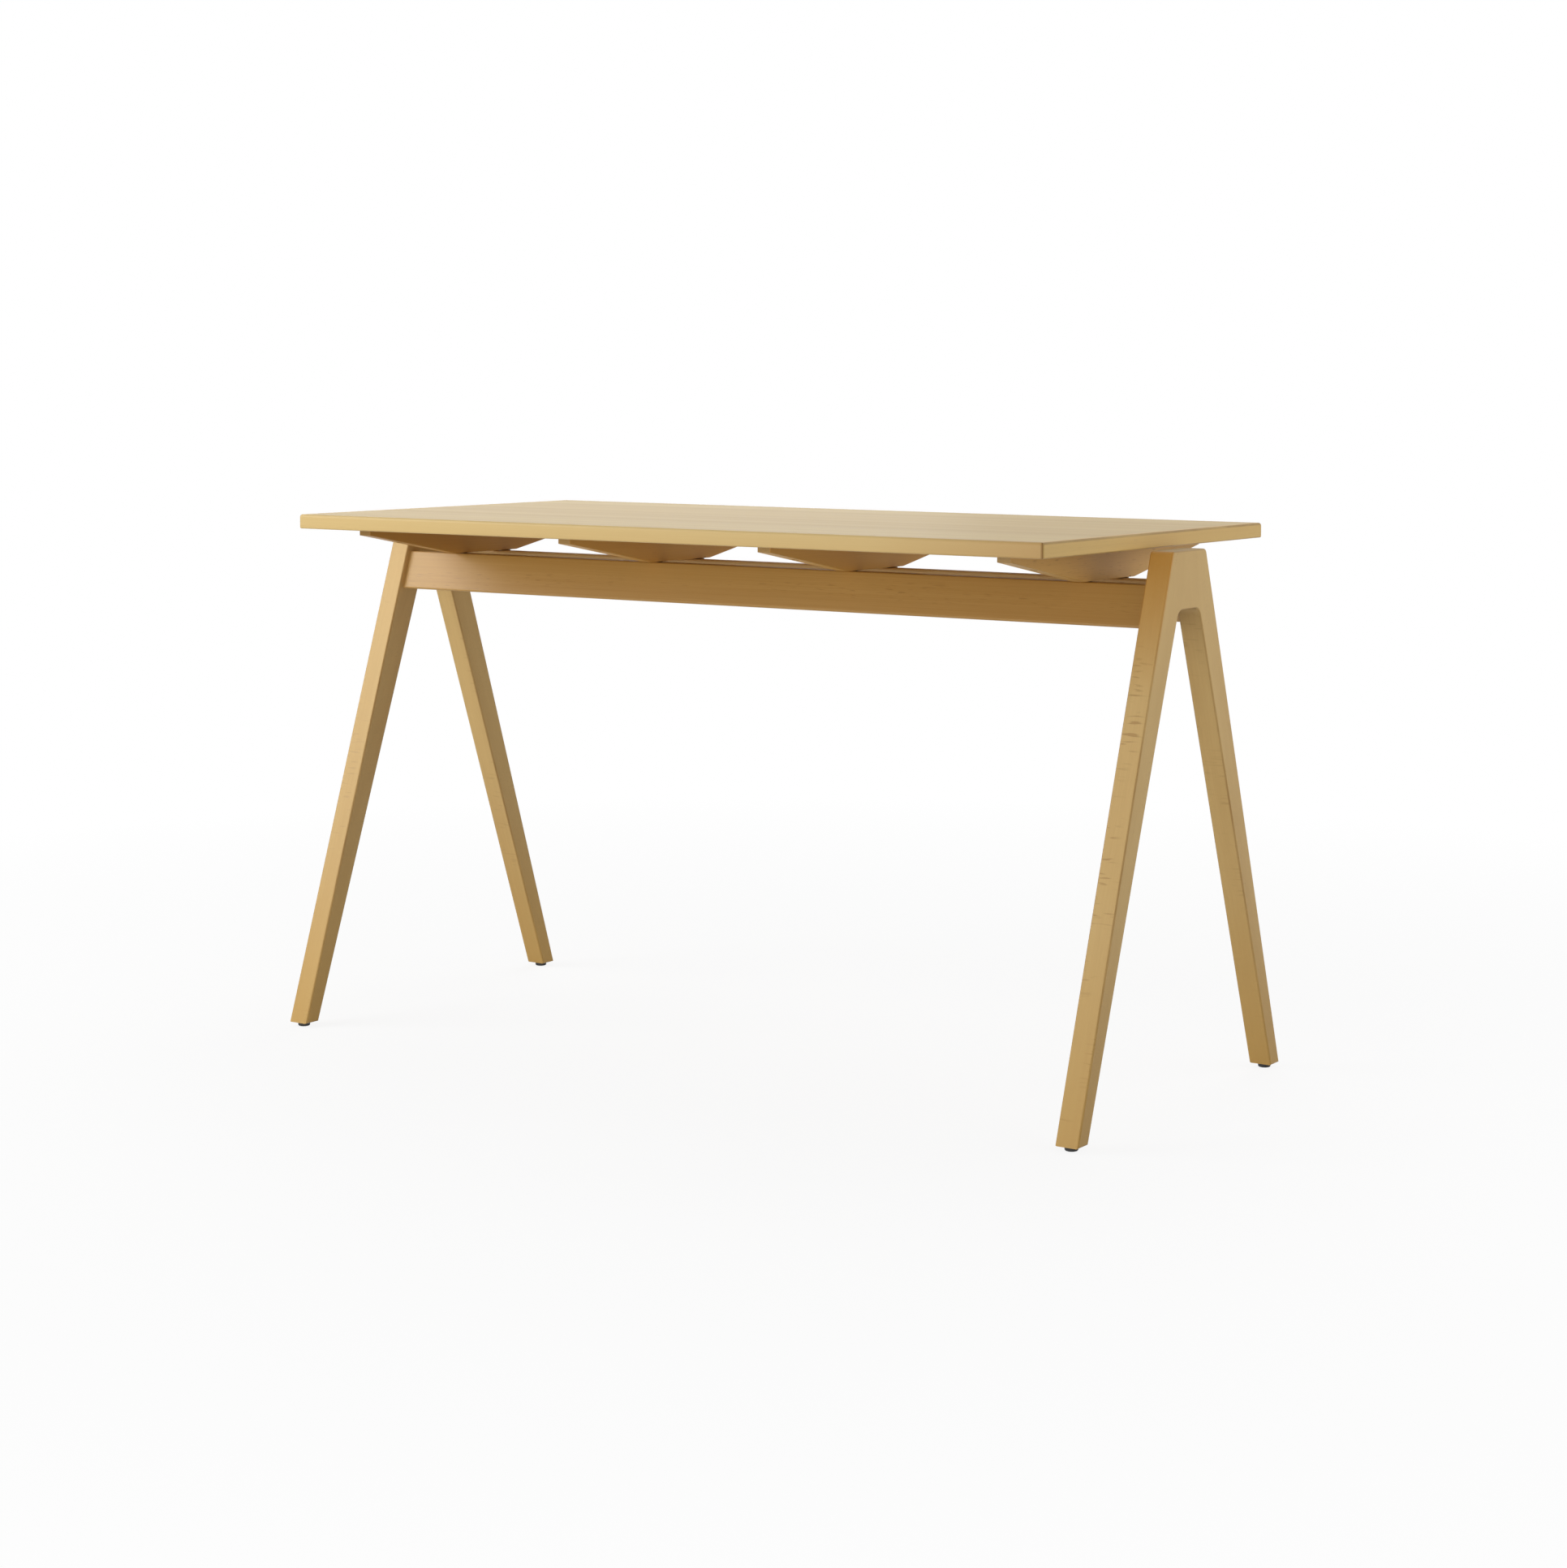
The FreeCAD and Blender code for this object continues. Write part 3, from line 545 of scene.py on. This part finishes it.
# Painted sheen: the left end of each rail turns paler, as where the key light falls on it
LEFT_END_SHEEN = (-0.42, -0.60, 0.22, "d0b27e")
HEARTWOOD = (0.15, 0.55, 0.3, "98661f")
for node, (pale, deep) in RAIL_TONES.items():
    rail_wood, net, shader, toned = beech(
        f"beech_{node}", along_x, pale, deep, RAIL_RAY, bands=1.1, fibres=1.0, rays=0.5, sheen=0.5)
    left_end_sheened = shade_along("X", net, toned.outputs["Colour"], *LEFT_END_SHEEN)
    heartwood = shade_along("X", net, left_end_sheened, *HEARTWOOD)
    net.links.new(heartwood, shader.inputs["Base Color"])
    dress((node,), rail_wood)

CROSSWAYS = (0, 1, 0)
BEARER_TONES = {"bearer_1": ("c8974c", "b48239"), "bearer_2": ("dcaa5a", "c69346"),
                "bearer_3": ("e5b665", "d1a050"), "bearer_4": ("dab06a", "c49a56")}
BEARER_RAY = "8c5822"
for node, (pale, deep) in BEARER_TONES.items():
    bearer_wood = beech(f"beech_{node}", along_y, pale, deep, BEARER_RAY, rays=0.4, ends=CROSSWAYS)[0]
    dress((node,), bearer_wood)

# %% [markdown]
# The top is faced with a sheet of beech above and a plainer one below. The dowels are raw beech, so they
# have hardly any gloss.

# %% Sheets and dowels
worktop_wood = beech("beech_worktop", flat_sawn, "d1b678", "bf9f60", "a88550",
                     bands=1.0, fibres=0.7, rays=0.35, gloss=0.44, sheen=0.5)[0]
dress(("top_surface",), worktop_wood)
backing_wood = beech("beech_backing", flat_sawn, "c6a064", "b68d50", "8f6633", rays=0.4)[0]
dress(("top_backing",), backing_wood)

DOWEL_TONES = ("dcb980", "cba668", "9c7038")
dress(("head_dowels",), beech("beech_head_dowel", along_y, *DOWEL_TONES, gloss=0.7)[0])
dress(("rail_dowels",), beech("beech_rail_dowel", along_x, *DOWEL_TONES, gloss=0.7)[0])

# %% [markdown]
# The lippings are solid strips glued round the top and mitred at the corners. The glue leaves a hair line
# along each mitre, where the distances to the two outer edges are equal. The long strips run into deeper
# wood over their last fifth, as the photograph shows in front, so their colour takes one more mix.


# %% Lippings
HALF_LENGTH = 0.6
HALF_WIDTH = 0.3
GLUE_LINE = 0.0003
GLUE_SHARE = 0.75
GLUE_TONE = "6f4c22"
LIPPING_RAY = "855d2a"
HEART_STARTS = 0.35
HEART_FULL = 0.62
HEART_TONE = "a9773a"


def distance_in(tree, value, edge):
    """Return how far a place lies inside the edges at plus and minus a distance."""
    return work_out(tree, "SUBTRACT", edge, work_out(tree, "ABSOLUTE", value))


def lipping(name, position, pale, deep, heartwood):
    """Make a lipping's beech, with its mitres' glue line and a share of heartwood at the right end."""
    material, net, shader, wood = beech(name, position, pale, deep, LIPPING_RAY, rays=0.1, arris_shade=0.6)
    here = add(net, "ShaderNodeTexCoord").outputs["Object"]
    parts = add(net, "ShaderNodeSeparateXYZ", {0: here}).outputs
    along = distance_in(net, parts["X"], HALF_LENGTH)
    across = distance_in(net, parts["Y"], HALF_WIDTH)
    off_mitre = work_out(net, "ABSOLUTE", work_out(net, "SUBTRACT", along, across))
    glue = between(net, off_mitre, GLUE_LINE, 2 * GLUE_LINE, GLUE_SHARE, 0.0)
    warm = shade_along("X", net, wood.outputs["Colour"], HEART_STARTS, HEART_FULL, heartwood, HEART_TONE)
    net.links.new(mix(net, glue, warm, colour(GLUE_TONE)), shader.inputs["Base Color"])
    return material


long_lipping = lipping("beech_lipping_long", along_x, "dabe81", "ceac6d", 0.5)
dress(("lipping_front", "lipping_rear"), long_lipping)
end_lipping = lipping("beech_lipping_end", along_y, "dfbc74", "cfa864", 0.0)
dress(("lipping_left", "lipping_right"), end_lipping)

# %% [markdown]
# The core of the top is chipboard: flat flakes of many pale browns, pressed together with the flakes
# lying along the board. Each cell of a Voronoi pattern, stretched along X and Y, is a flake with its own
# colour.

# %% Chipboard core
FLAKE_CELLS = (160, 260, 900)
FLAKE_RELIEF = (0.3, 0.0004)

core_board, net, shader = new_material("chipboard_core")
here = add(net, "ShaderNodeTexCoord").outputs["Object"]
flakes = add(net, "ShaderNodeTexVoronoi", {"Vector": stretch(net, here, FLAKE_CELLS), "Scale": 1.0})
shade = add(net, "ShaderNodeSeparateXYZ", {0: flakes.outputs["Color"]}).outputs[0]
net.links.new(mix(net, shade, colour("b98f58"), colour("d9bb8a")), shader.inputs["Base Color"])
net.links.new(between(net, shade, 0, 1, 0.75, 0.9), shader.inputs["Roughness"])
relief(net, shader, flakes.outputs["Distance"], *FLAKE_RELIEF)
dress(("top_core",), core_board)

# %% [markdown]
# The hardware is steel in three coats: bright plating on the bearers' screws, the nails and the strike
# plates, dark bronze on the hinges, and a dark coat on the magnets. All three wear in the same way, so one
# group gives soft patches for the colour and fine specks for the roughness.

# %% Metals
PATCH_CELLS = (220, 220, 220)
PATCH_RANGE = (0.35, 0.65)
SPECK_CELLS = (2600, 2600, 2600)
SPECK_RELIEF = (0.15, 0.00005)

tree, given, result = shader_group(
    "worn_metal",
    [("Bright", "Color"), ("Dull", "Color"), ("Smooth", "Float"), ("Rough", "Float")],
    [("Colour", "Color"), ("Roughness", "Float"), ("Specks", "Float")])
here = add(tree, "ShaderNodeTexCoord").outputs["Object"]
patches = between(tree, noise(tree, here, PATCH_CELLS, 3), *PATCH_RANGE)
specks = noise(tree, here, SPECK_CELLS, 2)
tree.links.new(mix(tree, patches, given["Dull"], given["Bright"]), result["Colour"])
roughness = between(tree, specks, *NOISE_RANGE, given["Smooth"], given["Rough"])
tree.links.new(roughness, result["Roughness"])
tree.links.new(specks, result["Specks"])
wear = tree


def metal(name, bright, dull, smooth, rough):
    """Make a coated metal from two colours and two roughnesses."""
    material, net, shader = new_material(name)
    worn = add(net, "ShaderNodeGroup", node_tree=wear)
    feed(net, worn, {"Bright": colour(bright), "Dull": colour(dull), "Smooth": smooth, "Rough": rough})
    shader.inputs["Metallic"].default_value = 1.0
    net.links.new(worn.outputs["Colour"], shader.inputs["Base Color"])
    net.links.new(worn.outputs["Roughness"], shader.inputs["Roughness"])
    relief(net, shader, worn.outputs["Specks"], *SPECK_RELIEF)
    return material


plated_steel = metal("plated_steel", "a5a29a", "87847c", 0.42, 0.58)
bronze = metal("dark_bronze", "6b5238", "3d2d20", 0.34, 0.52)
magnet_coat = metal("magnet_coat", "57504a", "37322e", 0.30, 0.45)
dress(("hinge_fixed_leaf", "hinge_moving_leaf", "hinge_pin"), bronze)
dress(("catch_plate",), plated_steel)

# %% [markdown]
# The glides are moulded black plastic. The mould leaves a fine pebbled grain, which noise gives as a
# small change of tone, roughness and height.

# %% Black plastic
PEBBLE_CELLS = (1500, 1500, 1500)
PEBBLE_RELIEF = (0.2, 0.0001)

black_plastic, net, shader = new_material("black_plastic")
here = add(net, "ShaderNodeTexCoord").outputs["Object"]
pebbles = noise(net, here, PEBBLE_CELLS, 2)
net.links.new(mix(net, pebbles, colour("141413"), colour("262524")), shader.inputs["Base Color"])
net.links.new(between(net, pebbles, *NOISE_RANGE, 0.5, 0.66), shader.inputs["Roughness"])
relief(net, shader, pebbles, *PEBBLE_RELIEF)
print(f"black plastic: {len(net.nodes)} nodes")

# %% [markdown]
# Screws, nails, glides and magnets are turned or headed parts, round about an axis. A profile of radius
# and height, spun in code, gives clean closed rings, and the profile can be read as a drawing. The shapes
# point up from height 0 and are placed later.


# %% Turned shapes
def ring(shape, radius, height, steps):
    """Add a ring of points, or one point where the radius is 0."""
    if radius == 0:
        return [shape.verts.new((0, 0, height))]
    angles = [2 * math.pi * i / steps for i in range(steps)]
    return [shape.verts.new((radius * math.cos(a), radius * math.sin(a), height)) for a in angles]


def skin(shape, first, second):
    """Close the surface between two rings, of which one may be a single point."""
    steps = max(len(first), len(second))
    for i in range(steps):
        j = (i + 1) % steps
        below = [first[k % len(first)] for k in (i, j)]
        above = [second[k % len(second)] for k in (j, i)]
        shape.faces.new(list(dict.fromkeys(below + above)))


def spin(profile, steps=32):
    """Spin points of radius and height into a closed shape. The profile starts and ends on the axis."""
    shape = bmesh.new()
    rings = [ring(shape, radius, height, steps) for radius, height in profile]
    for first, second in zip(rings, rings[1:]):
        skin(shape, first, second)
    return shape


def as_object(name, shape, sharp=35):
    """Turn a shape into an object whose edges stay crisp where faces meet at more than some degrees."""
    bmesh.ops.recalc_face_normals(shape, faces=shape.faces)
    for face in shape.faces:
        face.smooth = True
    mesh = bpy.data.meshes.new(name)
    shape.to_mesh(mesh)
    shape.free()
    mesh.set_sharp_from_angle(angle=math.radians(sharp))
    made = bpy.data.objects.new(name, mesh)
    scene.collection.objects.link(made)
    return made


# %% [markdown]
# A wood screw has three things that a plain pin lacks: a head shaped for its seat, a cross recess for the
# driver and a thread. The recess is cut from the head with a tapered cross, and the thread is a triangle
# wound round the shank. The thread's crest keeps the radius of the solid's shank, so nothing grows.


# %% Screws
# A share of the arms' length, a share of the recess's depth, and what is left of the arms at its bottom
ARM_HALF_WIDTH = 0.28
PUNCH_STANDS_OUT = 0.2
PUNCH_TAPER = 0.5


def cross_punch(length, depth):
    """Make the tapered cross that a driver leaves in a screw head, with four arms of a given length."""
    shape = bmesh.new()
    half = ARM_HALF_WIDTH * length
    quarter = [(length, -half), (length, half), (half, half)]
    outline = []
    for _ in range(4):
        outline += quarter
        quarter = [(-y, x) for x, y in quarter]
    outside = [shape.verts.new((x, y, -PUNCH_STANDS_OUT * depth)) for x, y in outline]
    inside = [shape.verts.new((PUNCH_TAPER * x, PUNCH_TAPER * y, depth)) for x, y in outline]
    skin(shape, outside, inside)
    shape.faces.new(outside)
    shape.faces.new(inside)
    return shape


def cut(body, punch):
    """Cut one object out of another, and return the result as a shape. Both objects are used up."""
    modifier = body.modifiers.new("cut", "BOOLEAN")
    modifier.object = punch
    shape = bmesh.new()
    shape.from_object(body, bpy.context.evaluated_depsgraph_get())
    for used in (body, punch):
        bpy.data.objects.remove(used)
    return shape


# A share of the pitch
RIDGE_HALF_WIDTH = 0.3


def wind_thread(shape, root, crest, start, end, pitch, steps=12):
    """Wind a triangular ridge round a shank between two heights."""
    half = RIDGE_HALF_WIDTH * pitch
    sections = []
    for i in range(round((end - start) / pitch * steps) + 1):
        angle = 2 * math.pi * i / steps
        height = start + pitch * i / steps
        across, over = math.cos(angle), math.sin(angle)
        corners = ((root, height - half), (crest, height), (root, height + half))
        sections.append([shape.verts.new((r * across, r * over, h)) for r, h in corners])
    for first, second in zip(sections, sections[1:]):
        skin(shape, first, second)
    shape.faces.new(sections[0])
    shape.faces.new(sections[-1])


# Shares of the shank's radius
CORE_SHARE = 0.75
PITCH_SHARE = 0.9
POINT_SHARE = 2
# The ridge starts inside the core, at this share of its radius
ROOT_SHARE = 0.9
# Shares of the head's radius
CROSS_LENGTH = 0.55
CROSS_DEPTH = 0.45


def screw(name, head, shank, length, head_profile):
    """Make a screw that points up with its head's face at height 0. Head and shank are radii."""
    core = CORE_SHARE * shank
    pitch = PITCH_SHARE * shank
    neck = head_profile[-1][1]
    tip = length - POINT_SHARE * shank
    body = as_object(name, spin([(0, 0), *head_profile, (core, neck), (core, tip), (0, length)]))
    shape = cut(body, as_object("punch", cross_punch(CROSS_LENGTH * head, CROSS_DEPTH * head)))
    wind_thread(shape, ROOT_SHARE * core, shank, neck + pitch, tip, pitch)
    return as_object(name, shape)


# A pan's outline in shares of the head's radius and depth
PAN_OUTLINE = ((0.70, 0), (0.88, 0.10), (0.97, 0.28), (1, 0.5), (1, 1))


def pan_screw(name, head, shank, length, depth):
    """Make a screw whose head is a low rounded pan that sits in a counterbore."""
    pan = [(across * head, down * depth) for across, down in PAN_OUTLINE]
    return screw(name, head, shank, length, pan)


# The rim of a sunk head tapers to this share of the radius over this depth, also a share of the radius
RIM_TAPER = 0.98
RIM_DEPTH = 0.06


def sunk_screw(name, head, shank, length):
    """Make a screw whose head is a cone that sits flush in a plate."""
    cone = [(head, 0), (RIM_TAPER * head, RIM_DEPTH * head), (shank, head - shank)]
    return screw(name, head, shank, length, cone)


# %% [markdown]
# Every kind of screw, nail, glide and magnet is repeated, so one Geometry Nodes tree sets copies of a
# shape on points. It can turn the shape over, for screws driven downwards, and it can spin each copy by a
# seeded chance amount, because no two screws stop at the same angle.

# %% Copies on points
SEED = 7
INPUTS = (("Geometry", "Geometry"), ("Shape", "Object"), ("Turn Over", "Float"), ("Loose Turn", "Float"),
          ("Seed", "Int"), ("Finish", "Material"))
copies = bpy.data.node_groups.new("copies_on_points", "GeometryNodeTree")
socket_of = {}
for label, kind in INPUTS:
    made = copies.interface.new_socket(label, in_out="INPUT", socket_type=f"NodeSocket{kind}")
    socket_of[label] = made.identifier
copies.interface.new_socket("Geometry", in_out="OUTPUT", socket_type="NodeSocketGeometry")
given = copies.nodes.new("NodeGroupInput").outputs
shape = add(copies, "GeometryNodeObjectInfo", {"Object": given["Shape"], "As Instance": True})
loose = add(copies, "FunctionNodeRandomValue", {2: 0.0, 3: given["Loose Turn"], "Seed": given["Seed"]})
turn = add(copies, "ShaderNodeCombineXYZ", {0: given["Turn Over"], 2: loose.outputs[1]})
placed = add(copies, "GeometryNodeInstanceOnPoints", {
    "Points": given["Geometry"], "Instance": shape.outputs["Geometry"], "Rotation": turn.outputs[0]})
solid = add(copies, "GeometryNodeRealizeInstances", {0: placed.outputs[0]})
coated = add(copies, "GeometryNodeSetMaterial", {
    "Geometry": solid.outputs[0], "Material": given["Finish"]})
add(copies, "NodeGroupOutput", {0: coated.outputs[0]})


def set_copies(name, places, shape, finish, turned_over=False, loose_turn=0.0):
    """Set copies of a shape on places, use the shape up, and return one plain mesh object."""
    points = bpy.data.meshes.new(name)
    points.from_pydata(places, [], [])
    holder = bpy.data.objects.new(name, points)
    scene.collection.objects.link(holder)
    modifier = holder.modifiers.new("copies", "NODES")
    modifier.node_group = copies
    values = {"Shape": shape, "Turn Over": math.pi if turned_over else 0.0, "Loose Turn": loose_turn,
              "Seed": SEED, "Finish": finish}
    for label, value in values.items():
        modifier[socket_of[label]] = value
    result = holder.evaluated_get(bpy.context.evaluated_depsgraph_get())
    mesh = bpy.data.meshes.new_from_object(result)
    bpy.data.objects.remove(holder)
    bpy.data.objects.remove(shape)
    piece = bpy.data.objects.new(name, mesh)
    scene.collection.objects.link(piece)
    print(f"{name}: {len(places)} copies, {len(mesh.polygons)} faces")
    return piece


def finish_piece(piece, body, nodes):
    """Let a piece ride on a body and stand for some solids."""
    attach(piece, body)
    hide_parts(*nodes)


# %% [markdown]
# The copies need places. A solid that stands for several screws or nails is one mesh of separate lumps.
# A walk along the edges tells the lumps apart, and each lump's box gives a place, a width and a length.


# %% Places on the solids
MEETING = 1e-6


def lumps(node):
    """Return the lowest and highest corners of each separate lump of a solid."""
    shape = bmesh.new()
    shape.from_mesh(solids[node].data)
    bmesh.ops.remove_doubles(shape, verts=shape.verts, dist=MEETING)
    left = set(shape.verts)
    boxes = []
    while left:
        lump = set()
        fresh = {left.pop()}
        while fresh:
            lump |= fresh
            fresh = {edge.other_vert(point) for point in fresh for edge in point.link_edges} - lump
        left -= lump
        axes = list(zip(*(point.co for point in lump)))
        boxes.append(([min(axis) for axis in axes], [max(axis) for axis in axes]))
    shape.free()
    return sorted(boxes)


def seats(boxes, from_top=False):
    """Return the middle of each box's bottom, or of its top."""
    places = []
    for low, high in boxes:
        height = high[2] if from_top else low[2]
        places.append(((low[0] + high[0]) / 2, (low[1] + high[1]) / 2, height))
    return places


def radius_and_height(box):
    """Return a box's radius in plan and its height."""
    low, high = box
    return (high[0] - low[0]) / 2, high[2] - low[2]


print(f"{len(lumps('bearer_screws'))} lumps in bearer_screws")

# %% [markdown]
# Three kinds of screw hold the table together. Pan heads sit in counterbores under the bearers, and sunk
# heads lie flush in the hinge leaves and strike plates. Head, length and place are measured on the solids'
# plain shanks. Only the shank's radius and the depth of the pan head are given here. The screws of the
# fixed leaves are driven downwards.


# %% Set the screws
FULL_TURN = 2 * math.pi
BEARER_SHANK = 0.002
BEARER_HEAD_DEPTH = 0.003
HINGE_SHANK = 0.0012
CATCH_SHANK = 0.001


def bearer_screw(head, length):
    """Make one of the screws that hold a bearer to the top."""
    return pan_screw("bearer_screw", head, BEARER_SHANK, length, BEARER_HEAD_DEPTH)


def hinge_screw(head, length):
    """Make one of the screws of a hinge leaf."""
    return sunk_screw("hinge_screw", head, HINGE_SHANK, length)


def catch_screw(head, length):
    """Make the screw of a strike plate."""
    return sunk_screw("catch_screw", head, CATCH_SHANK, length)


def set_screws(name, node, body, make, finish, downwards=False):
    """Set a screw on each shank of a solid, and let the piece ride on a body in the solid's stead."""
    boxes = lumps(node)
    shape = make(*radius_and_height(boxes[0]))
    piece = set_copies(name, seats(boxes, downwards), shape, finish, downwards, FULL_TURN)
    finish_piece(piece, body, [node])


set_screws("screws_bearer", "bearer_screws", "tabletop", bearer_screw, plated_steel)
set_screws("screws_hinge_moving", "hinge_moving_screws", "tabletop", hinge_screw, bronze)
set_screws("screws_hinge_fixed", "hinge_fixed_screws", "trestle", hinge_screw, bronze, True)
set_screws("screws_catch", "catch_screws", "tabletop", catch_screw, plated_steel)

# %% [markdown]
# Under each foot sits a moulded glide. It has a rounded rim on the floor, a recess for the nail's head
# and a slightly narrower neck against the wood.

# %% Glides
ROUND_STEPS = 48
RECESS = 0.00355
RECESS_DEPTH = 0.0032
RECESS_CHAMFER = 0.0004
# Steps in from the side and up from the floor
RIM_CURVE = ((0.0022, 0), (0.0009, 0.0004), (0.0002, 0.0013), (0, 0.0024))
# Steps in from the side and down from the top
NECK_CURVE = ((0, 0.0012), (0.0006, 0.0010), (0.0006, 0))

FEET = ("front_left", "front_right", "rear_left", "rear_right")
glide_nodes = [f"glide_{foot}" for foot in FEET]
boxes = [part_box(node) for node in glide_nodes]
wide, tall = radius_and_height(boxes[0])
glide_profile = [
    (0, RECESS_DEPTH), (RECESS, RECESS_DEPTH), (RECESS, RECESS_CHAMFER), (RECESS + RECESS_CHAMFER, 0),
    *((wide - inset, up) for inset, up in RIM_CURVE),
    *((wide - inset, tall - down) for inset, down in NECK_CURVE), (0, tall)]
shape = as_object("glide", spin(glide_profile, ROUND_STEPS))
piece = set_copies("glides", seats(boxes), shape, black_plastic)
finish_piece(piece, "trestle", glide_nodes)

# %% [markdown]
# One nail holds each glide. Its head is a low dome with a small chamfer beneath, and its shank is plain.

# %% Nails
NAIL_SHANK = 0.0013
NAIL_HEAD = 0.0012
NAIL_POINT = 0.003
HEAD_CHAMFER = 0.0002
# The dome's outline in shares of the head's radius and in height, and the share left by the chamfer
DOME = ((0.8, 0.0001), (1, 0.0004))
UNDERSIDE = 0.9

boxes = lumps("glide_nails")
head, length = radius_and_height(boxes[0])
nail_profile = [
    (0, 0), *((across * head, up) for across, up in DOME), (head, NAIL_HEAD - HEAD_CHAMFER),
    (UNDERSIDE * head, NAIL_HEAD), (NAIL_SHANK, NAIL_HEAD), (NAIL_SHANK, length - NAIL_POINT),
    (0, length)]
shape = as_object("nail", spin(nail_profile))
piece = set_copies("nails_glide", seats(boxes), shape, plated_steel)
finish_piece(piece, "trestle", ["glide_nails"])

# %% [markdown]
# In the front rail sit four magnets. Each is a steel cup with the magnet's face set a little below its
# rim, and a groove between the two.

# %% Magnets
CUP_CHAMFER = 0.0008
RIM_CHAMFER = 0.0004
FACE_DROP = 0.0001
# Steps in from the side and down from the rim
GROOVE = ((0.0012, 0), (0.0014, 0.0003), (0.0018, 0.0003), (0.0020, FACE_DROP))

magnet_nodes = [f"catch_magnet_{number}" for number in range(1, 5)]
boxes = [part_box(node) for node in magnet_nodes]
wide, tall = radius_and_height(boxes[0])
magnet_profile = [
    (0, 0), (wide - CUP_CHAMFER, 0), (wide, CUP_CHAMFER), (wide, tall - RIM_CHAMFER),
    (wide - RIM_CHAMFER, tall), *((wide - inset, tall - down) for inset, down in GROOVE),
    (0, tall - FACE_DROP)]
shape = as_object("magnet", spin(magnet_profile, ROUND_STEPS))
piece = set_copies("magnets_catch", seats(boxes), shape, magnet_coat)
finish_piece(piece, "trestle", magnet_nodes)
